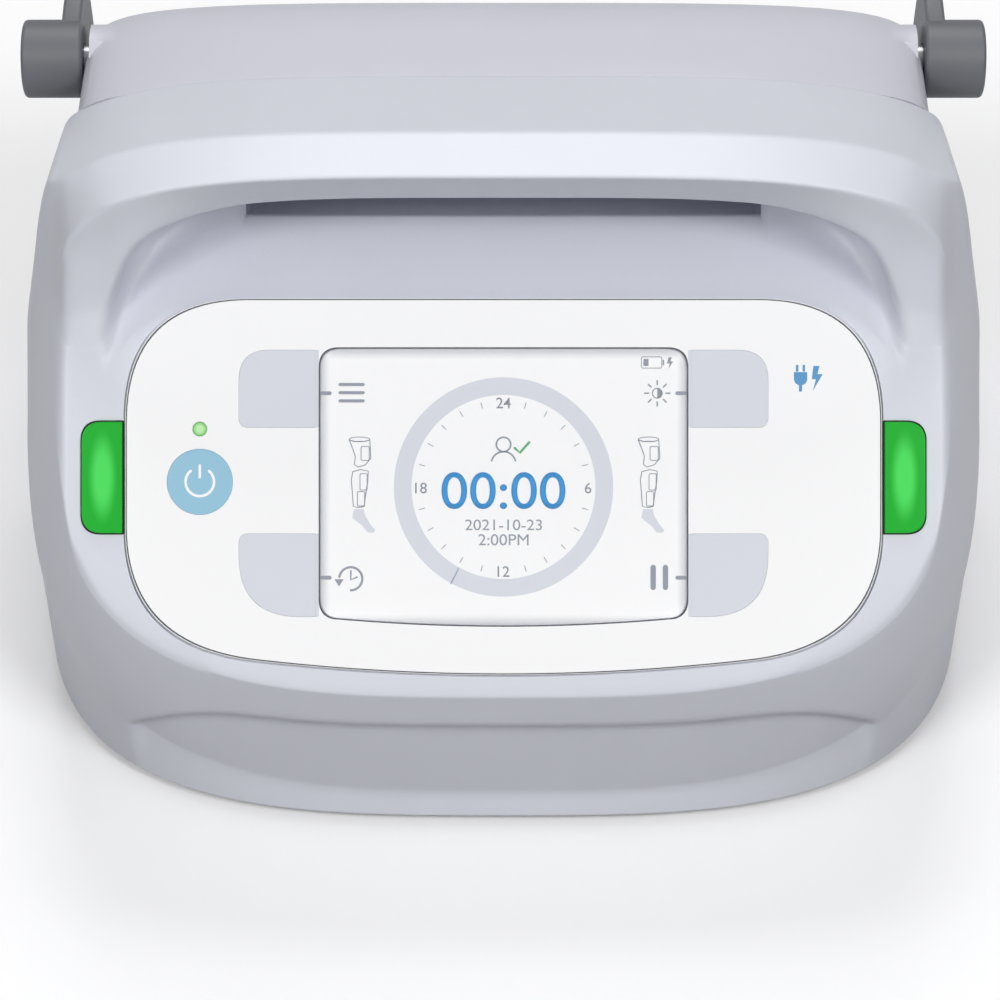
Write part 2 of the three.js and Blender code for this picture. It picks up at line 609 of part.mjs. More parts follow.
function basePlate() {
  const shape = new THREE.Shape();
  const clear = frontWall + gap;
  const half = bodyHalf - clear;
  const xs = halfShares.map((share) => share * half);
  shape.moveTo(0, frontY(0, roll.depth, clear));
  xs.slice(1).forEach((x) => shape.lineTo(x, frontY(x, roll.depth, clear)));
  shape.lineTo(half, hoopReach - clear);
  shape.lineTo(base.neckHalf, hoopReach - clear);
  shape.lineTo(base.neckHalf, base.back);
  shape.lineTo(-base.neckHalf, base.back);
  shape.lineTo(-base.neckHalf, hoopReach - clear);
  shape.lineTo(-half, hoopReach - clear);
  xs.slice(1).reverse().forEach((x) => shape.lineTo(-x, frontY(x, roll.depth, clear)));
  const plate = raised(shape, footHeight, baseTop);
  const post = (x, y, top, radius) => bar('z', radius, baseTop - overrun, top, [x, y], smallSides);
  const posts = [
    ...boardPosts.map(([x, y]) => post(x, y, mainBoard.z - gap, base.postRadius)),
    ...manifoldPosts.map(([x, y]) => post(x, y, manifold.low - gap, manifold.post)),
    ...[supply.left + wall, supply.right - wall].flatMap((x) => [supply.front + wall, supply.back - wall]
      .map((y) => post(x, y, supply.postZ - gap, wall))),
  ];
  const cuts = [
    block([door.left - gap, door.front - gap, footHeight - overrun],
      [door.right + gap, door.back + gap, baseTop + overrun]),
    ...feet.map((spot) => bar('z', foot.radius + gap, footHeight - overrun, footHeight + foot.seat, spot)),
    ...baseScrews.flatMap(screwHoles),
    ...[-1, 0, 1].map((step) => bar('z', speaker.hole, footHeight - overrun, baseTop + overrun,
      [speaker.x + step * speaker.holePitch, speaker.y], smallSides)),
  ];
  return cut(join(plate, ...posts), ...cuts);
}

// Materials

const finish = (color, roughness, metalness = 0) => (
  new THREE.MeshStandardMaterial({ color, roughness, metalness }));
const shellPlastic = finish(0xdadce6, 0.55);
const rearPlastic = finish(0xc9cad2, 0.6);
const darkPlastic = finish(0x55565b, 0.5);
const filmWhite = finish(0xfcfcfd, 0.35);
const keyGrey = finish(0xd7dae3, 0.4);
const keyBlue = finish(0x93c6df, 0.4);
const glassClear = finish(0xf3f5f8, 0.1);
const displayGrey = finish(0x9aa0a8, 0.5, 0.3);
const lensGreen = finish(0x27b836, 0.2);
const boardGreen = finish(0x2c6b45, 0.6);
const rubberDark = finish(0x2b2c2e, 0.9);
const steel = finish(0xb9bcc0, 0.35, 1);
const castAlloy = finish(0xa9adb2, 0.5, 0.9);
const hosePlastic = finish(0xe6e6e2, 0.5);
const batteryBlue = finish(0x3b5f8a, 0.5);
const brassPin = finish(0xc9a44c, 0.35, 1);

const machine = new THREE.Group();
const bodyFrame = new THREE.Group();
const panelFrame = new THREE.Group();
panelFrame.rotation.x = panelTilt;
panelFrame.position.z = panelHeight;
bodyFrame.add(panelFrame);
machine.add(bodyFrame);

function place(name, body, material, parent = bodyFrame) {
  const mesh = new THREE.Mesh(geometryOf(body), material);
  mesh.name = name;
  parent.add(mesh);
  return mesh;
}

place('front_housing', frontHousing(), shellPlastic);
place('rear_housing', rearHousing(), rearPlastic);
place('base_plate', basePlate(), rearPlastic);

// Panel pieces
const film = { low: overlay.proud - overlay.thick, high: overlay.proud };
const through = [film.low - overrun, film.high + overrun];
place('control_panel_overlay', cut(
  raised(overlayShape(0), film.low, film.high, 8),
  raised(windowShape(gap), ...through),
  bar('z', powerKey.radius + gap, ...through, [-powerKey.x, powerKey.a]),
  bar('z', statusLight.radius + gap, ...through, [-statusLight.x, statusLight.a], smallSides),
  ...softKeys.map(({ side, upper }) => raised(softKeyShape(side, upper, gap), ...through)),
), filmWhite, panelFrame);

const windowLow = film.high - display.thick;
const windowLedge = raised(windowShape(-gap * 2), windowLow - display.thick, film.high - gap);
const pane = join(raised(windowShape(0), pocketFloor + gap, film.high), windowLedge);
place('display_window', pane, glassClear, panelFrame);

const moduleHigh = -cavity.panelWall - gap;
const moduleHalf = display.half + display.frame;
const moduleRise = display.top + display.frameRise;
const displayBoardHalf = overlay.half - display.boardInset;
const boardHigh = moduleHigh - display.moduleThick - gap;
place('display_module', raised(
  roundedRect(-moduleHalf, -moduleRise, moduleHalf, moduleRise, gap),
  moduleHigh - display.moduleThick, moduleHigh,
), displayGrey, panelFrame);
place('display_board', raised(
  roundedRect(-displayBoardHalf, -display.boardRise, displayBoardHalf, display.boardRise - wall,
    display.round),
  boardHigh - display.boardThick, boardHigh,
), boardGreen, panelFrame);

const stemTip = boardHigh + gap;
place('power_button', join(
  bar('z', powerKey.radius, film.high - powerKey.thick, film.high, [-powerKey.x, powerKey.a]),
  bar('z', powerKey.stem, stemTip + powerKey.travel, film.high - gap, [-powerKey.x, powerKey.a], smallSides),
), keyBlue, panelFrame);
for (const key of softKeys) {
  const x = (key.side * (softKey.inner * 2 + softKey.wide + wall)) / 2;
  const twice = key.upper ? softKey.upperTop + softKey.upperBottom : -softKey.lowerTop - softKey.lowerBottom;
  const a = twice / 2;
  place(`softkey_${key.upper ? 'top' : 'bottom'}_${key.side < 0 ? 'left' : 'right'}`, join(
    raised(softKeyShape(key.side, key.upper, 0), film.high - softKey.thick, film.high),
    bar('z', softKey.stem, stemTip + softKey.travel, film.high - gap, [x, a], smallSides),
  ), keyGrey, panelFrame);
}
const lightSpot = [-statusLight.x, statusLight.a];
const lightPipe = bar('z', statusLight.radius, boardHigh + gap, film.high, lightSpot, smallSides);
place('status_light', lightPipe, lensGreen, panelFrame);
for (const side of sides) {
  const word = side < 0 ? 'left' : 'right';
  place(`alarm_light_${word}`, raised(alarmShape(side, 0), -alarm.deep, alarm.proud), lensGreen, panelFrame);
  const [left, right] = spanTo(side, alarm.inner, alarm.inner + alarm.wide - alarm.boardInset);
  place(`alarm_board_${word}`, raised(
    roundedRect(left, alarm.boardInset - alarm.bottom, right, alarm.top, gap),
    -alarm.deep - gap - alarm.boardThick, -alarm.deep - gap,
  ), boardGreen, panelFrame);
}

// Compressor
place('pump_body', cut(
  block([-pump.half, pump.front, pump.low], [pump.half, pump.back, pump.high]),
  block([-pump.half - overrun, (pump.front + pump.back) / 2 - pump.slot, pump.slotZ - pump.slot],
    [pump.half + overrun, (pump.front + pump.back) / 2 + pump.slot, pump.slotZ + pump.slot]),
), castAlloy);
const pumpY = (pump.front + pump.back) / 2;
const nipple = { radius: 2.6, reach: 5, x: (pump.half + pump.headOut) / 2 };
for (const side of sides) {
  const [x0, x1] = spanTo(side, pump.half + gap, pump.headOut);
  const [c0, c1] = spanTo(side, pump.half - overrun, pump.headOut - pump.headWall);
  place(`pump_head_${side < 0 ? 'left' : 'right'}`, join(
    cut(
      block([x0, pumpY - pump.headHalf, pump.slotZ - pump.headRise],
        [x1, pumpY + pump.headHalf, pump.slotZ + pump.headRise]),
      bar('x', pump.chamber, c0, c1, [pumpY, pump.slotZ]),
    ),
    bar('y', nipple.radius, pumpY + pump.headHalf - overrun, pumpY + pump.headHalf + nipple.reach,
      [side * nipple.x, pump.slotZ], smallSides),
  ), darkPlastic);
}
place('pump_armature', join(
  block([-discIn - overrun, pumpY - pump.rod, pump.slotZ - pump.rod],
    [discIn + overrun, pumpY + pump.rod, pump.slotZ + pump.rod]),
  bar('x', pump.disc, discIn, discIn + pump.discThick, [pumpY, pump.slotZ]),
  bar('x', pump.disc, -discIn - pump.discThick, -discIn, [pumpY, pump.slotZ]),
), steel);
for (const [word, y] of [['front', pump.front + pump.mountHalf], ['rear', pump.back - pump.mountHalf]]) {
  place(`pump_mount_${word}`, block([-pump.half + gap, y - pump.mountHalf / 2, baseTop + gap],
    [pump.half - gap, y + pump.mountHalf / 2, pump.low - gap]), rubberDark);
}

// Air path: valve block, valves, sensor, tubes and sockets
place('valve_block', block([manifold.left, manifold.front, manifold.low],
  [manifold.right, manifold.back, manifold.high]), hosePlastic);
const valve = { half: 6, rise: 20, in: 9, pitch: 20, count: 3 };
const valveY = (manifold.front + manifold.back) / 2;
for (let i = 0; i < valve.count; i += 1) {
  const x = manifold.left + valve.in + i * valve.pitch;
  place(`solenoid_valve_${i + 1}`, block([x - valve.half, valveY - valve.half + gap, manifold.high + gap],
    [x + valve.half, valveY + valve.half - gap, manifold.high + valve.rise]), darkPlastic);
}
function hose(points, radius, bore) {
  const ring = new THREE.Shape().absarc(0, 0, radius, 0, Math.PI * 2);
  ring.holes.push(new THREE.Path().absarc(0, 0, bore, 0, Math.PI * 2, true));
  const path = new THREE.CatmullRomCurve3(points.map((point) => new THREE.Vector3(...point)));
  return solid(new THREE.ExtrudeGeometry(ring, { steps: 14, extrudePath: path, curveSegments: 4 }));
}
const tube = { radius: 2.8, bore: 1.6, straight: 5, dropX: 6 };
const tubeEnds = {
  air_tube_left: [-nipple.x, manifold.left + tube.dropX], air_tube_right: [nipple.x, nipple.x],
};
for (const [name, [from, to]] of Object.entries(tubeEnds)) {
  const start = pumpY + pump.headHalf + nipple.reach + gap;
  const rise = (manifold.low + manifold.high) / 2 - tube.radius;
  place(name, hose([
    [from, start, pump.slotZ], [from, start + tube.straight, pump.slotZ],
    [to, manifold.front - gap - tube.straight, rise], [to, manifold.front - gap, rise],
  ], tube.radius, tube.bore), hosePlastic);
}
const socketFace = rearReach + port.flangeThick;
for (const { name, x } of ports) {
  place(name, join(
    cut(
      join(bar('y', port.radius, rearReach - port.reach, rearReach + gap, [x, port.z]),
        bar('y', port.flange, rearReach + gap, socketFace + gap, [x, port.z])),
      bar('y', port.bore, socketFace - port.deep, socketFace + overrun, [x, port.z]),
    ),
    bar('y', port.neck, manifold.back + gap, rearReach - port.reach + overrun, [x, port.z], smallSides),
  ), darkPlastic);
}
place('pressure_sensor', block(
  [nipple.x - sensor.half, mainBoard.back - sensor.front, mainBoard.z + mainBoard.thick + gap],
  [nipple.x + sensor.half, mainBoard.back - sensor.back, mainBoard.z + mainBoard.thick + sensor.high],
), darkPlastic);

// Power inlet with its three blades
const blade = { half: 1, rise: 2, length: 9, pitch: 7, offset: 2.5 };
const inletFloor = socketFace - inlet.deep;
place('power_inlet', join(
  cut(
    join(
      block([inlet.x - inlet.half, rearReach - inlet.reach, inlet.z - inlet.rise],
        [inlet.x + inlet.half, rearReach + gap, inlet.z + inlet.rise]),
      block([inlet.x - inlet.flange, rearReach + gap, inlet.z - inlet.flangeRise],
        [inlet.x + inlet.flange, rearReach + gap + port.flangeThick, inlet.z + inlet.flangeRise]),
    ),
    block([inlet.x - inlet.half + inlet.wall, inletFloor, inlet.z - inlet.rise + inlet.wall],
      [inlet.x + inlet.half - inlet.wall, socketFace + overrun, inlet.z + inlet.rise - inlet.wall]),
  ),
  ...[[-blade.pitch, -blade.offset], [blade.pitch, -blade.offset], [0, blade.offset]].map(([dx, dz]) => block(
    [inlet.x + dx - blade.half, inletFloor - overrun, inlet.z + dz - blade.rise],
    [inlet.x + dx + blade.half, inletFloor + blade.length, inlet.z + dz + blade.rise],
  )),
), darkPlastic);

// Electronics and power
const boardZ = mainBoard.z + mainBoard.thick;
place('main_board', join(
  block([-mainBoardHalf, mainBoard.front, mainBoard.z], [mainBoardHalf, mainBoard.back, boardZ]),
  block([mainBoard.chipIn - mainBoardHalf, mainBoard.back - mainBoard.chipFront, boardZ - gap],
    [mainBoard.chipOut - mainBoardHalf, mainBoard.back - mainBoard.chipBack, boardZ + mainBoard.chipHigh]),
), boardGreen);
place('power_supply', join(
  block([supply.left, supply.front, supply.postZ], [supply.right, supply.back, supply.postZ + supply.thick]),
  block([supply.left + wall, supply.front + wall, supply.postZ + overrun],
    [supply.right - wall, supply.back - wall, supply.partsHigh]),
), boardGreen);
place('battery_pack', block([battery.left, battery.front, battery.low],
  [battery.right, battery.back, battery.high]), batteryBlue);
const doorScrew = [(door.left + door.right) / 2, door.front + door.screwIn];
place('battery_door', cut(
  block([door.left, door.front, footHeight], [door.right, door.back, baseTop]),
  ...screwHoles(doorScrew),
), rearPlastic);
place('speaker', bar('z', speaker.radius, baseTop + gap, speaker.high, [speaker.x, speaker.y]), darkPlastic);

// Bed hook: two arms on pins beside the rear housing, a crossbar behind it and a lip that holds the bed board
const armClear = 0.9; // from the rear housing out to the hook's arms
const armThick = 4;
const backClear = 6.5; // from the rear wall back to the middle of the hook's crossbar
const lipIn = 8; // how far the hook's lip reaches in under the rear housing
const hook = {
  armIn: rearHalf + armClear, armOut: rearHalf + armClear + armThick, armHalf: 7, backY: rearReach + backClear,
  backHalf: 3.5, low: 26, high: 38, lipReach: rearReach - lipIn, lipThick: 4, pad: 2.2, padHalf: 60,
};
function hookSolid() {
  const arm = (side) => {
    const [x0, x1] = spanTo(side, hinge.inner, hinge.outer);
    const [a0, a1] = spanTo(side, hook.armIn, hook.armOut);
    const shape = new THREE.Shape();
    shape.moveTo(hinge.y, hinge.z + hook.armHalf);
    shape.lineTo(hook.backY - hook.backHalf, hinge.z + hook.armHalf);
    shape.lineTo(hook.backY + hook.backHalf, hinge.z);
    shape.lineTo(hook.backY + hook.backHalf, hook.low);
    shape.lineTo(hook.backY - hook.backHalf, hook.low);
    shape.lineTo(hook.backY - hook.backHalf, hinge.z - hook.armHalf * 2);
    shape.lineTo(hook.backY - hook.backHalf - hook.armHalf, hinge.z - hook.armHalf);
    shape.lineTo(hinge.y, hinge.z - hook.armHalf);
    const plate = new THREE.ExtrudeGeometry(shape, { depth: a1 - a0, bevelEnabled: false });
    plate.applyMatrix4(new THREE.Matrix4().makeBasis(
      new THREE.Vector3(0, 1, 0), new THREE.Vector3(0, 0, 1), new THREE.Vector3(1, 0, 0),
    )).translate(a0, 0, 0);
    return cut(
      join(bar('x', hinge.hub, x0, x1, [hinge.y, hinge.z]), solid(plate)),
      bar('x', hinge.pin + gap, x0 - overrun, x1 + overrun, [hinge.y, hinge.z], smallSides),
    );
  };
  return join(
    arm(-1), arm(1),
    block([-hook.armOut, hook.backY - hook.backHalf, hook.low],
      [hook.armOut, hook.backY + hook.backHalf, hook.high]),
    block([-hook.armIn, hook.lipReach, hook.low], [hook.armIn, hook.backY, hook.low + hook.lipThick]),
  );
}
place('bed_hook', hookSolid(), darkPlastic);
place('hook_pad', block(
  [-hook.padHalf, hook.lipReach, hook.low + hook.lipThick + gap],
  [hook.padHalf, hook.backY - hook.backHalf - gap, hook.low + hook.lipThick + gap + hook.pad],
), rubberDark);
for (const side of sides) {
  const head = hinge.bossIn - gap;
  place(`hook_pin_${side < 0 ? 'left' : 'right'}`, join(
    bar('x', hinge.pin, ...spanTo(side, head - overrun, hinge.outer - gap), [hinge.y, hinge.z], smallSides),
    bar('x', pinHead.radius, ...spanTo(side, head - pinHead.thick, head), [hinge.y, hinge.z], smallSides),
  ), steel);
}

// Feet and screws
feet.forEach(([x, y], i) => place(`foot_${i + 1}`,
  bar('z', foot.radius, 0, footHeight + foot.seat - gap, [x, y]), rubberDark));
const headTop = footHeight + screw.sunk - gap;
const screwAt = (spot, reach) => join(
  bar('z', screw.head, headTop - screw.headThick, headTop, spot, smallSides),
  bar('z', screw.shank, headTop - gap, footHeight + reach, spot, smallSides),
);
baseScrews.forEach((spot, i) => place(`base_screw_${i + 1}`, screwAt(spot, screw.reach), steel));
place('battery_door_screw', screwAt(doorScrew, base.thick), brassPin);

// The origin lies under the middle of the whole object
bodyFrame.position.y = (frontReach - hook.backY - hook.backHalf) / 2;

export default machine;
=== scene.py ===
"""Looks of the compression therapy pump: housings, panel, hook, works and stage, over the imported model."""

import math

import bpy
from mathutils import Matrix, Vector


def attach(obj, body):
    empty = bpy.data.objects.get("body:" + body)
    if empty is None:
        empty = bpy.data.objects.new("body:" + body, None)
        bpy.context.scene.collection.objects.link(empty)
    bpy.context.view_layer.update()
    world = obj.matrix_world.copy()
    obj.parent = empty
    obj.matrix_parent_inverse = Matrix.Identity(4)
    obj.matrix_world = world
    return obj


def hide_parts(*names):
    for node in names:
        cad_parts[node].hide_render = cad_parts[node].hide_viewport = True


bl_info = {
    "name": "Compression therapy pump",
    "version": (1, 0, 0),
    "blender": (4, 5, 0),
    "location": "3D View > Sidebar > Pump",
    "description": "Finishes a compression therapy pump piece by piece over its CAD frame",
    "category": "Object",
}

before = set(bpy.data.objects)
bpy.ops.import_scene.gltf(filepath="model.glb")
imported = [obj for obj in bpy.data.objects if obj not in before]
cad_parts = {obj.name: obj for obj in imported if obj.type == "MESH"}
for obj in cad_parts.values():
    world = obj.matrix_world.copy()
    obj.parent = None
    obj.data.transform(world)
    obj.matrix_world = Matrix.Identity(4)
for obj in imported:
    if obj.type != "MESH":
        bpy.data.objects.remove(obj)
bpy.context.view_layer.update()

# The body's own axes: millimetres, measured level from the middle of the control panel
MM = 0.001
BODY_Y = -40.9
PANEL_TILT = math.radians(38)
PANEL_HEIGHT = 71
TAN = math.tan(PANEL_TILT)
COS = math.cos(PANEL_TILT)
BODY = Matrix.Translation((0, BODY_Y * MM, 0)) @ Matrix.Scale(MM, 4)
PANEL = BODY @ Matrix.Translation((0, 0, PANEL_HEIGHT)) @ Matrix.Rotation(PANEL_TILT, 4, "X")
SIDEWAYS = BODY @ Matrix(((0, 0, 1, 0), (1, 0, 0, 0), (0, 1, 0, 0), (0, 0, 0, 1)))
UPRIGHT = BODY @ Matrix.Rotation(math.pi / 2, 4, "X")
TURN = {"x": Matrix.Rotation(math.pi / 2, 4, "Y"), "y": Matrix.Rotation(-math.pi / 2, 4, "X"), "z": Matrix()}
SIDES = ((-1, "left"), (1, "right"))


# Modelling by hand: small steps that the operators share

def deselect():
    bpy.ops.object.select_all(action="DESELECT")


def only(piece):
    deselect()
    piece.select_set(True)
    bpy.context.view_layer.objects.active = piece


def added(name):
    """The object that an operator has just made, under its own name."""
    bpy.context.object.name = name
    return bpy.context.object


def face_out():
    bpy.ops.mesh.normals_make_consistent(inside=False)


def in_edit(piece, *steps):
    """Runs the steps in edit mode with all of the mesh selected first."""
    only(piece)
    bpy.ops.object.mode_set(mode="EDIT")
    bpy.ops.mesh.select_all(action="SELECT")
    for step in steps:
        step()
    bpy.ops.object.mode_set(mode="OBJECT")


def on_picked(piece, kind, test, *steps):
    """Runs the steps in edit mode on the vertices, edges or faces (kind) of a mesh that pass a test."""
    only(piece)
    bpy.ops.object.mode_set(mode="EDIT")
    bpy.ops.mesh.select_mode(type={"vertices": "VERT", "edges": "EDGE", "polygons": "FACE"}[kind])
    bpy.ops.mesh.select_all(action="DESELECT")
    bpy.ops.object.mode_set(mode="OBJECT")
    for part in getattr(piece.data, kind):
        part.select = test(part)
    bpy.ops.object.mode_set(mode="EDIT")
    for step in steps:
        step()
    bpy.ops.object.mode_set(mode="OBJECT")


def soften(piece, times, test):
    """Relaxes the mesh where the test, in millimetres of the body, holds."""
    back = BODY.inverted()
    on_picked(piece, "vertices", lambda corner: test(back @ corner.co),
              lambda: bpy.ops.mesh.vertices_smooth(factor=0.5, repeat=times))


def dish(piece, outwards, inset, depth):
    """Insets the end face that looks outwards and sinks it, both in millimetres."""
    on_picked(piece, "polygons", lambda face: face.normal.dot(outwards) > 0.9,
              lambda: bpy.ops.mesh.inset(thickness=inset * MM),
              lambda: bpy.ops.transform.translate(value=tuple(-depth * MM * outwards)))


def thicken(piece, height):
    """Extrudes a flat mesh upwards and turns its faces outwards."""
    in_edit(piece, lambda: bpy.ops.mesh.extrude_region_move(TRANSFORM_OT_translate={"value": (0, 0, height)}),
            lambda: bpy.ops.mesh.select_all(action="SELECT"), face_out)


def modify(piece, kind, **settings):
    only(piece)
    modifier = piece.modifiers.new(kind.lower(), kind)
    for key, value in settings.items():
        setattr(modifier, key, value)
    bpy.ops.object.modifier_apply(modifier=modifier.name)


def finished(piece, smooth=40):
    """Welds and shades a mesh: smooth wherever its faces meet at less than an angle in degrees."""
    in_edit(piece, lambda: bpy.ops.mesh.remove_doubles(threshold=1e-7), face_out)
    bpy.ops.object.shade_smooth_by_angle(angle=math.radians(smooth))
    modify(piece, "WEIGHTED_NORMAL", keep_sharp=True)
    return piece


def joined(pieces, name):
    only(pieces[0])
    for piece in pieces:
        piece.select_set(True)
    if len(pieces) > 1:
        bpy.ops.object.join()
    pieces[0].name = name
    return pieces[0]


def carve(piece, *cutters):
    """Cuts shapes that don't touch each other out of a piece, all at once."""
    tool = joined(list(cutters), "tool")
    modify(piece, "BOOLEAN", object=tool, operation="DIFFERENCE", solver="EXACT")
    bpy.data.objects.remove(tool, do_unlink=True)
    return piece


def unite(piece, *others):
    for other in others:
        modify(piece, "BOOLEAN", object=other, operation="UNION", solver="EXACT")
        bpy.data.objects.remove(other, do_unlink=True)
    return piece


def rounded(piece, width, segments=3, angle=30):
    """Bevels a piece's edges, the width in millimetres."""
    modify(piece, "BEVEL", width=width * MM, segments=segments, limit_method="ANGLE",
           angle_limit=math.radians(angle), harden_normals=False)
    return piece


def cuboid(name, low, high, at=BODY):
    """A cube primitive set to two corners, in millimetres of the body or the panel."""
    deselect()
    bpy.ops.mesh.primitive_cube_add(size=1)
    piece = added(name)
    size = [b - a for a, b in zip(low, high)]
    middle = [(a + b) / 2 for a, b in zip(low, high)]
    piece.data.transform(at @ Matrix.Translation(middle) @ Matrix.Diagonal((*size, 1)))
    return piece


def rod(name, axis, radius, start, end, centre, at=BODY, sides=64):
    """A cylinder primitive along an axis, from start to end; centre gives the other two places in order."""
    deselect()
    bpy.ops.mesh.primitive_cylinder_add(vertices=sides, radius=radius, depth=end - start)
    piece = added(name)
    middle = (start + end) / 2
    spot = {"x": (middle, *centre), "y": (centre[0], middle, centre[1]), "z": (*centre, middle)}[axis]
    piece.data.transform(at @ Matrix.Translation(spot) @ TURN[axis])
    return piece


def slab(name, outline, low, high, at=PANEL):
    """A filled circle primitive whose corners go to an outline, extruded from low to high."""
    deselect()
    bpy.ops.mesh.primitive_circle_add(vertices=len(outline), fill_type="NGON")
    piece = added(name)
    for corner, (x, y) in zip(piece.data.vertices, outline):
        corner.co = (x, y, low)
    thicken(piece, high - low)
    piece.data.transform(at)
    return piece


def annulus(centre, outer, inner, low, high, at=PANEL):
    """A flat ring: a tall rod cut out of a flat one."""
    body = rod("ring", "z", outer, low, high, centre, at, 128)
    return carve(body, rod("bore", "z", inner, low - 1, high + 1, centre, at, 128))


def lofted(name, rings, at=BODY):
    """A grid primitive whose rows go to closed rings of equally many points, with both ends closed."""
    rows, columns = len(rings), len(rings[0])
    deselect()
    bpy.ops.mesh.primitive_grid_add(x_subdivisions=columns, y_subdivisions=rows - 1, size=2)
    piece = added(name)
    for corner in piece.data.vertices:
        column = round((corner.co.x + 1) / 2 * columns) % columns
        row = round((corner.co.y + 1) / 2 * (rows - 1))
        corner.co = rings[row][column]
    in_edit(piece, lambda: bpy.ops.mesh.remove_doubles(threshold=1e-4))
    for ring in (rings[0], rings[-1]):
        flat = ring[0]
        axis = next(i for i in (0, 1, 2) if all(abs(p[i] - flat[i]) < 1e-6 for p in ring))
        on_picked(piece, "vertices", lambda corner: abs(corner.co[axis] - flat[axis]) < 1e-4,
                  bpy.ops.mesh.edge_face_add)
    in_edit(piece, face_out)
    piece.data.transform(at)
    return piece


# Outlines in millimetres

def mirrored(side, near, far):
    """Two places on the side of the middle that side gives, -1 or 1, the smaller one first."""
    return sorted((side * near, side * far))


def curve(start, control, end, steps=12):
    return [tuple((1 - t) ** 2 * a + 2 * t * (1 - t) * c + t * t * b for a, c, b in zip(start, control, end))
            for t in (i / steps for i in range(1, steps + 1))]


def closed(*legs):
    """A closed outline: each leg is a point, or a curve given by its control point, its end and its steps."""
    outline = []
    for leg in legs:
        outline += [leg] if len(leg) == 2 else curve(outline[-1], *leg)
    return outline[:-1]


def rounded_box(left, bottom, right, top, round_tr, round_br, round_bl, round_tl, steps=12):
    return closed((left + round_tl, top), (right - round_tr, top),
                  ((right, top), (right, top - round_tr), steps), (right, bottom + round_br),
                  ((right, bottom), (right - round_br, bottom), steps), (left + round_bl, bottom),
                  ((left, bottom), (left, bottom + round_bl), steps), (left, top - round_tl),
                  ((left, top), (left + round_tl, top), steps))


def ribbon(points, width, ends=6):
    """The outline of a stroke of one width with round ends along open points."""
    half = width / 2
    sides = ([], [])
    for i, (x, y) in enumerate(points):
        a, b = points[max(i - 1, 0)], points[min(i + 1, len(points) - 1)]
        dx, dy = b[0] - a[0], b[1] - a[1]
        long = math.hypot(dx, dy)
        sides[0].append((x - dy / long * half, y + dx / long * half))
        sides[1].append((x + dy / long * half, y - dx / long * half))
    caps = []
    for centre, first in ((points[-1], sides[0][-1]), (points[0], sides[1][0])):
        angle = math.atan2(first[1] - centre[1], first[0] - centre[0])
        caps.append([(centre[0] + half * math.cos(angle - math.pi * k / ends),
                      centre[1] + half * math.sin(angle - math.pi * k / ends)) for k in range(1, ends)])
    return [*sides[0], *caps[0], *reversed(sides[1]), *caps[1]]


def polar(centre, radius, degrees):
    """A place at an angle round a centre, 0 to the right, counted to the left."""
    angle = math.radians(degrees)
    return (centre[0] + radius * math.cos(angle), centre[1] + radius * math.sin(angle))


def arc(centre, radius, start, end, steps=24):
    return [polar(centre, radius, start + (end - start) * i / steps) for i in range(steps + 1)]


# The forms of the moulded housings: the CAD's own formulas, drawn finer and with rounded creases

FRONT_REACH, HOOP_REACH = 32.2, 70
FRAME_HALF, BODY_HALF, REAR_HALF = 86.4, 96.5, 85.7
FRAME_SAG, BODY_SAG, SAG_POWER = 43, 70, 3.2
HOOP_TOP, FOOT_HEIGHT, WALL, FRONT_WALL = 126.5, 2.5, 2.6, 4.6
ROLL_DEPTH, HOOP_FOOT, HOOP_LIP, HOOP_BAND, HOOP_FALL = 30, 29.5, 30.4, 12, 12.8
HOOP_DROP, BAND_DROP, HOOP_LEAN, SHOULDER = 40, 8, 0.24, 12
RECESS_HALF, RECESS_EVEN, RECESS_TOP, RECESS_FALL, RECESS_DEEP = 77, 46, 36.4, 16, 2.4
LIP = (37.7, 112.8)
REAR_FROM, REAR_TO, REAR_TOP, REAR_FALL, REAR_SHOULDER = 70.3, 104, 110.5, 6, 14
BAY_FRONT, BAY_TOP = 92, 46
SCOOP_HALF, SCOOP_EVEN, WELL_HALF = 75.6, 46, 51


def plane_z(y):
    return PANEL_HEIGHT + y * TAN


def plane_y(z):
    return (z - PANEL_HEIGHT) / TAN


def soft_ramp(value, soft):
    """Zero, then the value, with a soft bend between them."""
    if value <= -soft:
        return 0
    return value if value >= soft else (value + soft) ** 2 / (4 * soft)


def smooth_step(value):
    share = min(max(value, 0), 1)
    return share * share * (3 - 2 * share)


def super_drop(share, power):
    return 1 - (1 - min(share, 1) ** power) ** (1 / power)


def width_at(depth):
    return FRAME_HALF + (BODY_HALF - FRAME_HALF) * (1 - (1 - min(depth / ROLL_DEPTH, 1)) ** 2)


def depth_at(x, soft=0.12):
    share = soft_ramp((x - FRAME_HALF) / (BODY_HALF - FRAME_HALF), soft)
    return ROLL_DEPTH * (1 - math.sqrt(max(1 - min(share, 1), 0)))


def front_y(x, depth):
    share = min(depth / ROLL_DEPTH, 1)
    drop = super_drop(x / width_at(depth), SAG_POWER)
    return FRAME_SAG * drop * (1 - share) + BODY_SAG * drop * share - FRONT_REACH


def arch(x, depth, most):
    """How far the hoop's outline has come down at x: a flat arch that meets a leaning side in a shoulder."""
    share = min(depth / HOOP_BAND, 1)
    drop = (HOOP_DROP + BAND_DROP * share) * super_drop(x / width_at(depth), 4)
    lean = HOOP_LEAN * math.sqrt(min(depth / ROLL_DEPTH, 1))
    side = max(most - (width_at(depth) - x) / lean, 0) if lean > 0 else 0
    fall = (drop ** 3 + side ** 3) ** (1 / 3)
    return fall - soft_ramp(fall - most, SHOULDER)


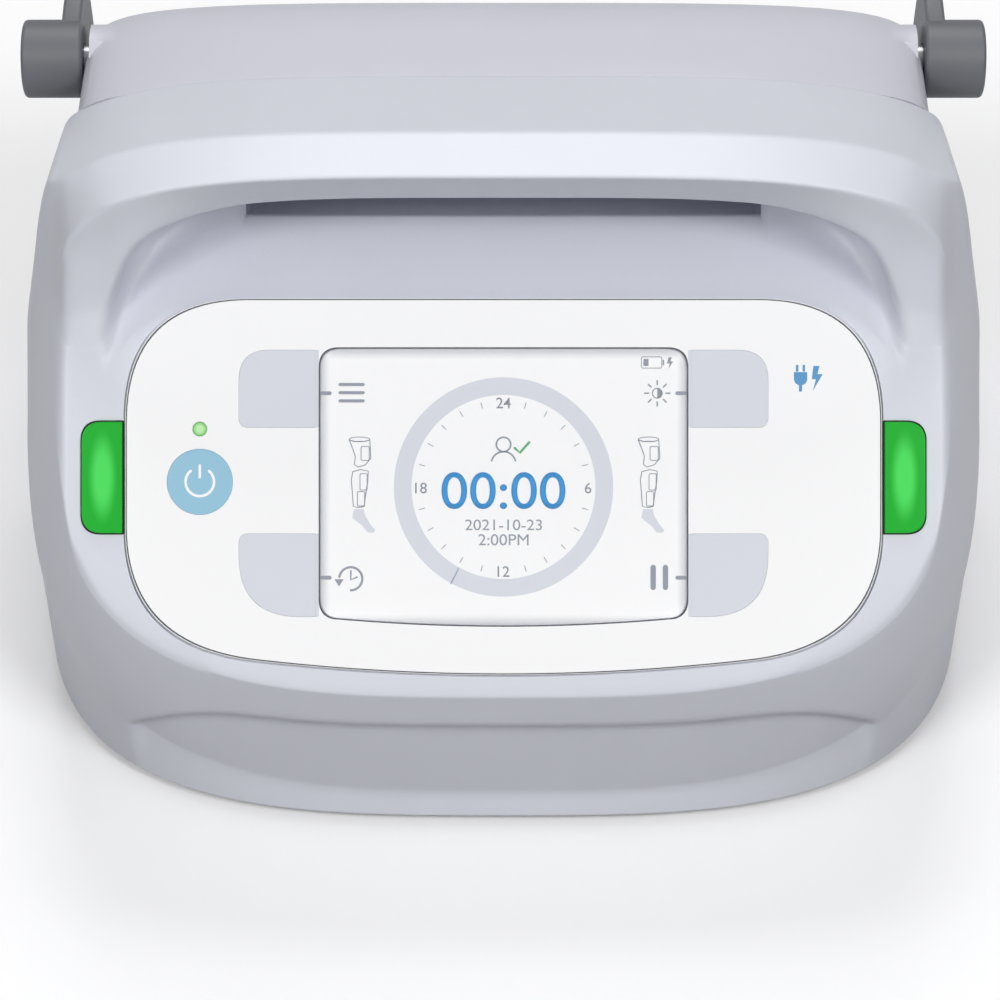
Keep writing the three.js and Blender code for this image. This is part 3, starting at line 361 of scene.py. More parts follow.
def recess_depth(x, z):
    """The shallow recess low in the front wall, with its soft edges."""
    across = smooth_step((RECESS_HALF + (z - 20) * 0.16 - x) / 3.5)
    top = RECESS_TOP - RECESS_FALL * (max(x - RECESS_EVEN, 0) / 29.5) ** 2.6
    return RECESS_DEEP * across * smooth_step((top - z) / 5) * smooth_step(z - 1)


def rounded_ring(corners, steps=6):
    """Closed ring of points; each corner is (y, z, radius, points along the next side)."""
    ring = []
    count = len(corners)
    for i, (y, z, radius, along) in enumerate(corners):
        p = Vector((y, z))
        before, after = Vector(corners[i - 1][:2]), Vector(corners[(i + 1) % count][:2])
        to_before, to_after = before - p, after - p
        r = min(radius, to_before.length * 0.45)
        s = min(radius, to_after.length * 0.45)
        a = p + to_before.normalized() * r if to_before.length > 1e-6 else p
        b = p + to_after.normalized() * s if to_after.length > 1e-6 else p
        if radius > 0:
            ring += [tuple((1 - t) ** 2 * u + 2 * t * (1 - t) * w + t * t * v for u, w, v in zip(a, p, b))
                     for t in (k / steps for k in range(steps + 1))]
        else:
            ring.append(tuple(p))
        end = after
        if to_after.length > 1e-6:
            end = after - to_after.normalized() * min(corners[(i + 1) % count][2], to_after.length * 0.45)
        ring += [tuple(Vector(ring[-1]).lerp(end, k / (along + 1))) for k in range(1, along + 1)]
    return ring


def scoop_open(x):
    """How far the grip opens at x: back from the hoop's face, and how far its lip overhangs."""
    past = max(x - SCOOP_EVEN, 0) / (SCOOP_HALF - SCOOP_EVEN)
    pocket = (1 - min(past, 1) ** 2.7) ** (1 / 2.2)
    over = 1 - min(x / 72, 1) ** 4.3
    return pocket, over


def front_ring(x, wall_steps=26):
    """The front housing's side view at x: up the front wall and bezel, through the grip, over the hoop."""
    half = abs(x)
    near = depth_at(half)
    leg = HOOP_TOP - HOOP_FALL - arch(half, ROLL_DEPTH, 44)
    foot_y = HOOP_FOOT + near
    foot_z = plane_z(foot_y) - near / COS
    foot_z -= soft_ramp(foot_z - leg + 1, 8)
    foot_y = (foot_z - PANEL_HEIGHT + near / COS) / TAN
    corners = [(front_y(half, ROLL_DEPTH), FOOT_HEIGHT, 0.8, 2)]
    for k in range(wall_steps):
        depth = near + (ROLL_DEPTH - near) * (1 - k / wall_steps)
        y = front_y(half, depth)
        z = plane_z(y) - depth / COS
        corners.append((y + recess_depth(half, z), z, 0, 0))
    y = front_y(half, near)
    corners.append((y, plane_z(y) - near / COS, 2.2 if half < FRAME_HALF else 0.5, 12))
    pocket, over = scoop_open(half)
    most = HOOP_TOP - foot_z - 1
    lip_y = HOOP_LIP + foot_y - HOOP_FOOT
    face = (lip_y, HOOP_TOP - arch(half, near, most))
    sweep = min(15, foot_y - y - 3)
    rise = min(13, (face[1] - foot_z) * 0.8)

    def pull(share, y, z, radius, along):
        """A point of the grip's side view, drawn in to the soft corner at the foot of the hoop's legs."""
        start = (foot_y - sweep, foot_z - sweep * TAN)
        end = (foot_y + 0.6, foot_z + rise)
        rest = [(1 - share) ** 2 * a + 2 * share * (1 - share) * b + share * share * c
                for a, b, c in zip(start, (foot_y, foot_z), end)]
        return (rest[0] + (y - rest[0]) * pocket, rest[1] + (z - rest[1]) * pocket, radius, along)

    lip = (HOOP_FOOT + (LIP[0] - HOOP_FOOT) * over, LIP[1])
    soft = 3 * smooth_step((half - 86) / 8)
    corners += [
        pull(0, 26.5, plane_z(26.5), 5, 3),
        pull(0.12, 36, 93.6, 6, 4),
        pull(0.22, 50.6, 95.9, 0.5 + 5 * smooth_step((half - 50) / 3), 2),
        pull(0.32, 52.6, 106, 4, 2),
        pull(0.42, 47, LIP[1] + 0.2, 4, 2),
        pull(0.52, *lip, 0.8 + 4 * smooth_step((half - 60) / 15), 3),
        pull(1, lip[0] + (face[0] - lip[0]) * 0.5, lip[1] + (face[1] - lip[1]) * 0.5, 3, 3),
        (*face, 1.1 + soft, 5),
        (lip_y + HOOP_BAND - 0.35 * near, HOOP_TOP - arch(half, HOOP_BAND + 0.65 * near, most), 1 + soft, 8),
        (HOOP_REACH, leg, 1.2, 12),
        (HOOP_REACH, FOOT_HEIGHT, 0.8, 8),
    ]
    return [(x, y, z) for y, z in rounded_ring(corners)]


def front_inside(x):
    """The room inside the front housing, behind its walls."""
    half = abs(x)
    near = depth_at(half + FRONT_WALL)
    ring = [(front_y(half / (1 - FRONT_WALL / BODY_HALF), ROLL_DEPTH) + FRONT_WALL, 1)]
    for depth in (1, 0.4, 0.15, 0):
        depth = near + (ROLL_DEPTH - near) * depth
        y = FRONT_WALL + front_y(half * width_at(depth) / (width_at(depth) - FRONT_WALL), depth)
        ring.append((y, plane_z(y) - (depth + FRONT_WALL) / COS))
    foot = max(ring[-1][0] + WALL, 31.4)
    rise = min(90, plane_z(foot) - (near + FRONT_WALL) / COS)
    back = max(47.4, foot + WALL)
    ring += [(foot, rise), (back, rise), (back + 0.3, min(rise, 79.6)), (67.4, min(rise, 79.6)), (67.4, 1)]
    return [(x, y, z) for y, z in ring]


def finger_well(x):
    """The well behind the grip's floor; its front edge flares so that the floor turns softly down into it."""
    flare = curve((50.7, 93.4), (50.4, 95.7), (47.4, 95.9), 6)
    side = [(50.7, 83), (66.4, 83), (66.4, 111.6), (44, 121.6), (41, 120.6), (41, 111.8), (47, 103)]
    return [(x, y, z) for y, z in (*side, *reversed(flare), (50.7, 93.4))]


def front_stations():
    """The places across the front housing that its side view is drawn at, closer towards the sides."""
    right = [k * 46 / 10 for k in range(10)] + [46 + k * 0.9 for k in range(34)]
    right += [76.6 + k * 0.7 for k in range(23)]
    right += [92.7 + 3.8 * math.sin(k * math.pi / 20) for k in range(11)]
    return [-x for x in reversed(right[1:])] + right


def rear_ring(y, inset, low):
    """Round-shouldered outline across the rear housing."""
    half, top = REAR_HALF - inset, REAR_TOP - inset - REAR_FALL * (y - REAR_FROM) / (REAR_TO - REAR_FROM)
    shares = [1, 0.998, 0.99, 0.975, 0.95, 0.92, 0.88, 0.84, 0.78, 0.7, 0.6, 0.45, 0.25]
    right = [(share * half, top - REAR_SHOULDER * super_drop(share, 4)) for share in shares]
    outline = [(half, low), *right, (0, top), *[(-x, z) for x, z in reversed(right)], (-half, low)]
    return [(x, y, z) for x, z in outline]


# The rim of the control panel and of what shows through it

KEY_INNER, KEY_OUTER = 36.6, 51.6
KEY_ROWS = {True: (26.7, 11.6), False: (-9.1, -25.3)}
# Each soft key's side, whether it is an upper one, and the body that it rides on
KEYS = {"softkey_top_left": (-1, True, "key_top_left"),
        "softkey_bottom_left": (-1, False, "key_bottom_left"),
        "softkey_top_right": (1, True, "key_top_right"),
        "softkey_bottom_right": (1, False, "key_bottom_right")}
POWER, LIGHT = (-59.2, 1), (-59.2, 11.3)
GAP, PANEL_BACK = 0.3, -7
PORTS = (16, 46)
PORT_Z, INLET_X = 63, -48
HINGE = (93, 95)


def overlay_outline(grow):
    half, top, bottom = 73.8 + grow, 36.8 + grow, -34 - grow
    high, low, sag, bulge = 24, 26, 2.7, 5.4
    return closed((high - half, top), (half - high, top), ((half, top), (half, top - high), 24),
                  (half, bottom + low), ((half, bottom + sag), (half - low, bottom), 24),
                  ((0, bottom - bulge), (low - half, bottom), 40),
                  ((-half, bottom + sag), (-half, bottom + low), 24), (-half, top - high),
                  ((-half, top), (high - half, top), 24))


def window_outline(grow):
    half, top, bottom, bend, bulge = 35.7 + grow, 26.9 + grow, -25.5 - grow, 4, 2.8
    return closed((bend - half, top), (half - bend, top), ((half, top), (half, top - bend), 12),
                  (half, bottom + bend), ((half, bottom), (half - bend, bottom), 12),
                  ((0, bottom - bulge), (bend - half, bottom), 30),
                  ((-half, bottom), (-half, bottom + bend), 12), (-half, top - bend),
                  ((-half, top), (bend - half, top), 12))


def side_box(side, inner, outer, bottom, top, high, low, fine=0.3):
    """A box at one side of the panel; high and low are the radii of its outer corners."""
    if side > 0:
        return rounded_box(inner, bottom, outer, top, high, low, fine, fine)
    return rounded_box(-outer, bottom, -inner, top, fine, fine, low, high)


def key_outline(side, upper, grow):
    top, bottom = KEY_ROWS[upper]
    return side_box(side, KEY_INNER - grow, KEY_OUTER + grow, bottom - grow, top + grow,
                    *((6, 2) if upper else (2, 12)))


def lens_outline(side, grow):
    return side_box(side, 74.3 - grow, 82.2 + grow, -9 - grow, 12.7 + grow, 4, 4)


def key_slabs(name, grow, low, high):
    return [slab(name, key_outline(side, upper, grow), low, high) for side, upper, body in KEYS.values()]


# Materials

COLOUR = {"subtype": "COLOR", "size": 4, "min": 0, "max": 1}
LENGTH = {"unit": "LENGTH", "subtype": "DISTANCE"}


def colour(hex_text):
    """An sRGB hex colour as linear RGBA."""
    parts = [int(hex_text[i:i + 2], 16) / 255 for i in (1, 3, 5)]
    return (*[c / 12.92 if c <= 0.04045 else ((c + 0.055) / 1.055) ** 2.4 for c in parts], 1)


def linear(base):
    """A colour given as hex text or as a property, as linear RGBA."""
    return colour(base) if isinstance(base, str) else tuple(base)


class PumpLooks(bpy.types.PropertyGroup):
    """The colours of the pump's plastics, films and lenses; the rear housing's colour and that of the fine
    lines round the film carry painted shade
    """

    shell: bpy.props.FloatVectorProperty(
        name="Front housing", description="Colour of the front moulding", default=colour("#DADCE6"), **COLOUR)
    # The rear moulding is of the front's plastic; its darker colour here is painted shade that the rear lies
    # in, and the base and battery door take it too
    rear: bpy.props.FloatVectorProperty(
        name="Rear housing", description="Colour of the rear moulding and the base",
        default=colour("#CBCCD6"), **COLOUR)
    film: bpy.props.FloatVectorProperty(
        name="Panel film", description="Ground colour of the panel film", default=colour("#FCFCFD"), **COLOUR)
    soft_key: bpy.props.FloatVectorProperty(
        name="Soft keys", description="Colour of the four soft keys and of the zones printed beside them",
        default=colour("#DADDE6"), **COLOUR)
    power_key: bpy.props.FloatVectorProperty(
        name="Power key", description="Colour of the round power key", default=colour("#93C6DF"), **COLOUR)
    lens: bpy.props.FloatVectorProperty(
        name="Alarm lens", description="Colour of the lenses' rim", default=colour("#0AA826"), **COLOUR)
    lens_core: bpy.props.FloatVectorProperty(
        name="Lit core", description="Colour of the lenses' middle", default=colour("#46D457"), **COLOUR)
    # Colour of the fine dark lines: round the film's edge they are painted shade of the gap between film and
    # housing; round the display window, a dark line along its edge
    outline: bpy.props.FloatVectorProperty(
        name="Printed outline", description="Colour of the fine lines round film and display",
        default=colour("#3A3C44"), **COLOUR)
    hook: bpy.props.FloatVectorProperty(
        name="Bed hook", description="Colour of the hook's nylon", default=colour("#6A6B70"), **COLOUR)
    socket: bpy.props.FloatVectorProperty(
        name="Sockets", description="Colour of the hose sockets and the mains inlet",
        default=colour("#4B4C51"), **COLOUR)


class PumpSizes(bpy.types.PropertyGroup):
    """The finer sizes that the moulded pieces are dressed with, and the power of the lamps"""

    grain: bpy.props.FloatProperty(
        name="Mould grain", description="Width of the grain of the housings", default=0.0005, **LENGTH)
    film_edge: bpy.props.FloatProperty(
        name="Film edge", description="Rounding of the panel film's edge", default=0.00015, **LENGTH)
    lens_edge: bpy.props.FloatProperty(
        name="Lens edge", description="Rounding of the alarm lenses' edge", default=0.00055, **LENGTH)
    # Width of the fine dark lines round the film's edge, painted shade of the gap there, and round the
    # display window
    outline: bpy.props.FloatProperty(
        name="Outline", description="Width of the fine printed outlines", default=0.00022, **LENGTH)
    lamp_front: bpy.props.FloatProperty(
        name="Front lamp", description="Power of each soft light in front", default=4.9, unit="POWER")
    lamp_low: bpy.props.FloatProperty(
        name="Low lamp", description="Power of the soft light low in front", default=2.6, unit="POWER")
    lamp_above: bpy.props.FloatProperty(
        name="Top lamp", description="Power of the soft light overhead", default=1.3, unit="POWER")
    lamp_behind: bpy.props.FloatProperty(
        name="Rear lamp", description="Power of the soft light behind the hoop", default=5.7, unit="POWER")


def add_node(tree, kind, settings=None, links=None):
    """Adds a shader node; settings go to its attributes or sockets, links name the sockets that feed it."""
    node = tree.nodes.new(kind)
    for key, value in (settings or {}).items():
        if isinstance(key, str) and hasattr(node, key):
            setattr(node, key, value)
        else:
            node.inputs[key].default_value = value
    for key, source in (links or {}).items():
        tree.links.new(source, node.inputs[key])
    return node


def new_material(name, settings):
    """A fresh material with its shader's inputs set; gives the material, its node tree and the shader."""
    material = bpy.data.materials.new(name)
    material.use_nodes = True
    shader = material.node_tree.nodes["Principled BSDF"]
    for socket, value in settings.items():
        shader.inputs[socket].default_value = value
    return material, material.node_tree, shader


def mapping_into(matrix):
    """What a mapping node is set to so that it gives places in a matrix's own millimetres."""
    turn = matrix.inverted()
    return {"Rotation": turn.to_euler(), "Location": turn.to_translation(), "Scale": turn.to_scale()}


def moulded_plastic(name, base, roughness=0.5, grain_mm=0.5, grain=0.25, mottle=0.03, ior=1.53):
    """Injection-moulded ABS from a spark-eroded mould: a fine even grain that spreads the gloss, and a
    colour that hardly varies. The real grain is finer than the render shows, so it is drawn coarser."""
    material, tree, shader = new_material(name, {"Roughness": roughness, "IOR": ior})
    place = add_node(tree, "ShaderNodeTexCoord").outputs["Object"]
    grit = add_node(tree, "ShaderNodeTexNoise", {"Scale": 0.6 / (grain_mm * MM), "Detail": 3.0},
                    {"Vector": place})
    bump = add_node(tree, "ShaderNodeBump", {"Strength": grain, "Distance": 0.1 * MM},
                    {"Height": grit.outputs["Fac"]})
    tree.links.new(bump.outputs["Normal"], shader.inputs["Normal"])
    cloud = add_node(tree, "ShaderNodeTexNoise", {"Scale": 55.0, "Detail": 2.0}, {"Vector": place})
    plain = linear(base)[:3]
    darker, paler = [c * (1 - mottle) for c in plain], [min(c * (1 + mottle), 1) for c in plain]
    tint = add_node(tree, "ShaderNodeMix", {"data_type": "RGBA", 6: [*darker, 1], 7: [*paler, 1]},
                    {0: cloud.outputs["Fac"]})
    tree.links.new(tint.outputs[2], shader.inputs["Base Color"])
    return material


def moulded_rubber(name):
    """Moulded thermoplastic rubber: near black, dull, with a faint coarse grain."""
    return moulded_plastic(name, "#2B2C2E", roughness=0.85, grain_mm=0.8, grain=0.4, mottle=0.08)


def coat(material, *names):
    """Gives CAD pieces their finish and leaves their shape alone."""
    for name in names:
        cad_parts[name].data.materials.clear()
        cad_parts[name].data.materials.append(material)


def dress(piece, material, slot, body="root", *replaced):
    piece.data.materials.clear()
    piece.data.materials.append(material)
    if replaced:
        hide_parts(*replaced)
    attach(piece, body)


class PUMP_OT_front_housing(bpy.types.Operator):
    """Builds the front moulding with its bezel, hoop, carry grip and front recess"""

    bl_idname = "pump.front_housing"
    bl_label = "Front housing"

    def execute(self, context):
        looks, sizes = context.scene.pump_looks, context.scene.pump_sizes
        housing = lofted("front_shell", [front_ring(x) for x in front_stations()])
        soften(housing, 26, lambda p: 57 < abs(p.x) < 84 and p.y < 46 and plane_z(p.y) - 1 < p.z < 118)
        soften(housing, 6, lambda p: abs(p.x) > 70 and p.z > 88)
        soften(housing, 10, lambda p: abs(p.x) > 88 and 58 < p.z < 120 and p.y > plane_y(p.z) - 4)
        shares = (0.21, 0.42, 0.54, 0.64, 0.73, 0.79, 0.834, 0.87, 0.895, 0.917, 0.948, 0.98, 1)
        room = BODY_HALF - FRONT_WALL
        xs = [-share * room for share in reversed(shares)] + [0] + [share * room for share in shares]
        carve(housing, lofted("front_room", [front_inside(x) for x in xs]))
        throat = cuboid("throat", (-80, 60, 1), (80, 75, 77))
        carve(housing, throat, lofted("finger_well", [finger_well(-WELL_HALF), finger_well(WELL_HALF)]))
        carve(housing, slab("pocket", overlay_outline(GAP), -0.9, 4))
        carve(housing, *[slab("lens_hole", lens_outline(side, GAP), -8, 5) for side in (-1, 1)])
        carve(housing, slab("window_hole", window_outline(-GAP), PANEL_BACK, 0),
              rod("key_hole", "z", 6.7, PANEL_BACK, 0, POWER, PANEL),
              rod("light_hole", "z", 1.7, PANEL_BACK, 0, LIGHT, PANEL, 32),
              *key_slabs("key_hole", GAP, PANEL_BACK, 0))
        dress(finished(housing), moulded_plastic("moulded_abs_shell", looks.shell, 0.42, sizes.grain / MM),
              "shell_plastic", "root", "front_housing")
        return {"FINISHED"}


class PUMP_OT_rear_housing(bpy.types.Operator):
    """Builds the rear moulding with its rounded rear edge, hook bay and socket openings"""

    bl_idname = "pump.rear_housing"
    bl_label = "Rear housing"

    def execute(self, context):
        looks, sizes = context.scene.pump_looks, context.scene.pump_sizes
        profile = ((REAR_FROM, 0), (90, 0), (96, 0.35), (99, 0.95), (101, 1.9), (102.5, 3.2), (103.5, 4.9),
                   (REAR_TO, 7))
        room = ((REAR_FROM - 1, WALL), (98, WALL + 0.4), (101.4, WALL + 2.4))
        shell = lofted("rear_shell", [rear_ring(y, inset, FOOT_HEIGHT) for y, inset in profile])
        inner = lofted("rear_inside", [rear_ring(y, inset, 1) for y, inset in room])
        carve(inner, cuboid("bay_inside", (-99, BAY_FRONT - WALL, -5), (99, 110, BAY_TOP + WALL)))
        bosses = [rod("boss", "x", 7, *mirrored(side, 74, 84.5), HINGE) for side in (-1, 1)]
        carve(shell, inner)
        unite(shell, *bosses)
        carve(shell, cuboid("bay", (-99, BAY_FRONT, -5), (99, 110, BAY_TOP)))
        carve(shell, *[rod("hole", "y", 9.3, 98, 105, (x, PORT_Z)) for x in PORTS],
              cuboid("hole", (INLET_X - 14.3, 97, PORT_Z - 10.3), (INLET_X + 14.3, 105, PORT_Z + 10.3)),
              *[rod("hole", "x", 3.3, *mirrored(side, 73, 87), HINGE) for side in (-1, 1)])
        # The rear takes the darker colour of painted shade
        dress(finished(shell), moulded_plastic("moulded_abs_rear", looks.rear, 0.45, sizes.grain / MM),
              "rear_plastic", "root", "rear_housing")
        return {"FINISHED"}


class PUMP_OT_underside(bpy.types.Operator):
    """Finishes the base plate and the battery door, and builds the rubber feet"""

    bl_idname = "pump.underside"
    bl_label = "Underside"

    def execute(self, context):
        # The base and battery door take the rear's darker colour of painted shade
        coat(moulded_plastic("moulded_abs_base", context.scene.pump_looks.rear, roughness=0.55),
             "base_plate", "battery_door")
        rubber = moulded_rubber("moulded_rubber_feet")
        for i, (x, y) in enumerate([(-62, -4), (62, -4), (-66, 80), (66, 80)], 1):
            foot = rounded(rod(f"foot_pad_{i}", "z", 7, 0, 3.2, (x, y)), 0.5)
            dish(foot, Vector((0, 0, -1)), 1.6, 0.4)
            dress(finished(foot, 35), rubber, "rubber_dark", "root", f"foot_{i}")
        return {"FINISHED"}


# How far the film, what is printed on it and the fine dark lines stand over the panel's face, in millimetres
FILM_TOP, ZONE_TOP, LINE_TOP, SYMBOL_TOP = 0.2, 0.212, 0.215, 0.22


def printed_film(name, base, roughness=0.45, emission=0.0, ior=1.6):
    """Reverse-printed polyester film: ink under a clear, slightly textured surface, so an even colour
    with a soft gloss. A touch of light of its own stands in for a lit display where asked."""
    material = moulded_plastic(name, base, roughness, grain_mm=0.35, grain=0.05, mottle=0.004, ior=ior)
    shader = material.node_tree.nodes["Principled BSDF"]
    shader.inputs["Emission Color"].default_value = linear(base)
    shader.inputs["Emission Strength"].default_value = emission
    return material


class PUMP_OT_panel_film(bpy.types.Operator):
    """Builds the white panel film with its rounded edge and the marks printed on it, a fine dark line of
    painted shade along its edge, and a dark line round the display window
    """

    bl_idname = "pump.panel_film"
    bl_label = "Panel film"

    def execute(self, context):
        looks, sizes = context.scene.pump_looks, context.scene.pump_sizes
        film = rounded(slab("panel_film", overlay_outline(0), -0.6, FILM_TOP), sizes.film_edge / MM, 3, 60)
        carve(film, slab("opening", window_outline(0.12), -2, 2),
              rod("opening", "z", 6.45, -2, 2, POWER, PANEL),
              rod("opening", "z", 1.45, -2, 2, LIGHT, PANEL, 32), *key_slabs("opening", 0.03, -2, 2))
        dress(finished(film, 30), printed_film("polyester_film_white", looks.film), "panel_film", "root",
              "control_panel_overlay")
        line = sizes.outline / MM
        # Two fine dark lines: one just inside the film's edge, painted shade of the gap between film and
        # housing, and one round the display window's edge
        rims = [carve(slab("line", outline(outer), FILM_TOP, LINE_TOP), slab("inside", outline(inner), 0, 1))
                for outline, outer, inner in ((overlay_outline, -0.15, -0.15 - line),
                                              (window_outline, 0.12 + line, 0.12))]
        dress(joined(rims, "film_outlines"), printed_film("ink_outline", looks.outline, 0.4), "print_grey")
        zones = []
        for side, upper, body in KEYS.values():
            (left, right), (top, bottom) = mirrored(side, 36.0, KEY_INNER), KEY_ROWS[upper]
            zone = rounded_box(left, bottom, right, top, *[0.02] * 4)
            zones.append(slab("key_zone", zone, FILM_TOP, ZONE_TOP))
        dress(joined(zones, "key_zones"), printed_film("ink_key_grey", looks.soft_key), "key_grey")
        plug = [(56.6, 22.4), (59.2, 22.4), (59.2, 20.9), (58.9, 20.2), (58.2, 19.8), (58.2, 18.6),
                (57.6, 18.6), (57.6, 19.8), (56.9, 20.2), (56.6, 20.9)]
        prongs = [[(x, 22.5), (x + 0.5, 22.5), (x + 0.5, 23.8), (x, 23.8)] for x in (57.0, 58.3)]
        bolt = [(60.4, 23.6), (61.6, 23.6), (61.2, 22.0), (62.2, 22.0), (60.3, 18.7), (60.9, 21.0),
                (60.1, 21.0)]
        marks = [slab("mark", outline, FILM_TOP, SYMBOL_TOP) for outline in (plug, *prongs, bolt)]
        dress(joined(marks, "mains_mark"), printed_film("ink_blue", "#4A97CC"), "print_blue")
        return {"FINISHED"}


def glow_lens(name, base, core, centre, reach, strength=0.15):
    """Tinted polycarbonate lens lit from behind: saturated at its rim, paler and brighter over the lamp."""
    material, tree, shader = new_material(
        name, {"Roughness": 0.3, "IOR": 1.35, "Emission Strength": strength})
    place = add_node(tree, "ShaderNodeTexCoord").outputs["Object"]
    near = add_node(tree, "ShaderNodeMapping", mapping_into(PANEL @ Matrix.Translation((*centre, 0))),
                    {"Vector": place})
    squash = add_node(tree, "ShaderNodeVectorMath", {"operation": "DIVIDE", 1: (*reach, 30)},
                      {0: near.outputs[0]})
    far = add_node(tree, "ShaderNodeVectorMath", {"operation": "LENGTH"}, {0: squash.outputs[0]})
    ramp = add_node(tree, "ShaderNodeValToRGB", {}, {"Fac": far.outputs["Value"]})
    ramp.color_ramp.interpolation = "EASE"
    for stop, position, tone in zip(ramp.color_ramp.elements, (0.35, 1.0), (core, base)):
        stop.position, stop.color = position, linear(tone)
    for socket in ("Base Color", "Emission Color"):
        tree.links.new(ramp.outputs["Color"], shader.inputs[socket])
    return material


class PUMP_OT_keys(bpy.types.Operator):
    """Builds the power key with its symbol and the four soft keys at the corners of the display"""

    bl_idname = "pump.keys"
    bl_label = "Keys"

    def execute(self, context):
        looks = context.scene.pump_looks
        key = rounded(rod("power_key_cap", "z", 6.42, -2, FILM_TOP, POWER, PANEL, 96), 0.12, 3, 60)
        unite(key, rod("stem", "z", 2.2, -8, -1.5, POWER, PANEL, 32))
        dress(finished(key, 30), printed_film("polyester_key_blue", looks.power_key), "key_blue", "power_key",
              "power_button")
        x, a = POWER
        lines = (arc(POWER, 2.78, 130, 410, 40), [(x, a + 0.9), (x, a + 3.2)])
        strokes = [slab("line", ribbon(line, 0.5), FILM_TOP, SYMBOL_TOP) for line in lines]
        symbol = joined(strokes, "power_symbol")
        dress(symbol, printed_film("ink_white", "#FFFFFF"), "panel_film", "power_key")
        grey = printed_film("polyester_key_grey", looks.soft_key)
        for name, (side, upper, body) in KEYS.items():
            cap = rounded(slab(name + "_cap", key_outline(side, upper, 0), -2, FILM_TOP), 0.06, 2, 60)
            middle = (side * (KEY_INNER + KEY_OUTER + WALL) / 2, sum(KEY_ROWS[upper]) / 2)
            unite(cap, rod("stem", "z", 2.2, -8.2, -1.5, middle, PANEL, 32))
            dress(finished(cap, 30), grey, "key_grey", body, name)
        return {"FINISHED"}


class PUMP_OT_lights(bpy.types.Operator):
    """Builds the two green alarm lenses and the small status light"""

    bl_idname = "pump.lights"
    bl_label = "Lights"

    def execute(self, context):
        looks, sizes = context.scene.pump_looks, context.scene.pump_sizes
        for side, word in SIDES:
            lens = slab("alarm_lens_" + word, lens_outline(side, 0), -7, 1)
            rounded(lens, sizes.lens_edge / MM, 4, 60)
            glow = glow_lens("polycarbonate_lens_" + word, looks.lens, looks.lens_core,
                             (side * 78.1, 1.9), (3.1, 10))
            dress(finished(lens), glow, "lens_green", "root", "alarm_light_" + word)
            # A near black ring down in the gap round each lens: painted shade of that gap
            gap_ring = carve(slab("lens_seal_" + word, lens_outline(side, 0.28), -1.2, -0.2),
                         slab("inside", lens_outline(side, 0.02), -2, 2))
            dress(gap_ring, moulded_rubber("black_foam_seal_" + word), "rubber_dark")
        dot = rounded(rod("status_dot", "z", 1.4, -6, FILM_TOP, LIGHT, PANEL, 48), 0.2, 3, 60)
        glow = glow_lens("polycarbonate_dot", "#6FBF63", "#B9E6A9", LIGHT, (1.5, 1.5))
        dress(finished(dot), glow, "lens_green", "root", "status_light")
        return {"FINISHED"}


# The display: everything on it is printed shapes a fiftieth of a millimetre thick

SCREEN_Z = -0.55
PRINT_LOW, PRINT_TOP = SCREEN_Z + 0.01, SCREEN_Z + 0.03
SUN, LEGS = (30.0, 18.3), (-28.2, 28.2)


def words(text, x, a, height, bold=0.0, width=None):
    """Text set to a height in millimetres, centred, as a thin mesh on the display."""
    deselect()
    bpy.ops.object.text_add()
    line = bpy.context.object
    line.data.body = text
    line.data.align_x, line.data.align_y = "CENTER", "CENTER"
    line.data.offset = bold
    bpy.ops.object.convert(target="MESH")
    line = bpy.context.object
    in_edit(line, lambda: bpy.ops.mesh.remove_doubles(threshold=1e-5))
    low = [min(v.co[i] for v in line.data.vertices) for i in (0, 1)]
    high = [max(v.co[i] for v in line.data.vertices) for i in (0, 1)]
    tall = height / (high[1] - low[1])
    wide = tall if width is None else width / (high[0] - low[0])
    line.data.transform(Matrix.Diagonal((wide, tall, 1, 1)) @ Matrix.Translation(
        (-(low[0] + high[0]) / 2, -(low[1] + high[1]) / 2, 0)))
    line.data.transform(Matrix.Translation((x, a, PRINT_LOW)))
    thicken(line, 0.02)
    line.data.transform(PANEL)
    return line


def mark(outline):
    return slab("mark", outline, PRINT_LOW, PRINT_TOP)


def stroke(points, width):
    return mark(ribbon(points, width))


def loop(points, width):
    """A closed line: two strokes that meet."""
    half = len(points) // 2
    return [stroke(points[:half + 1], width), stroke([*points[half:], points[0]], width)]


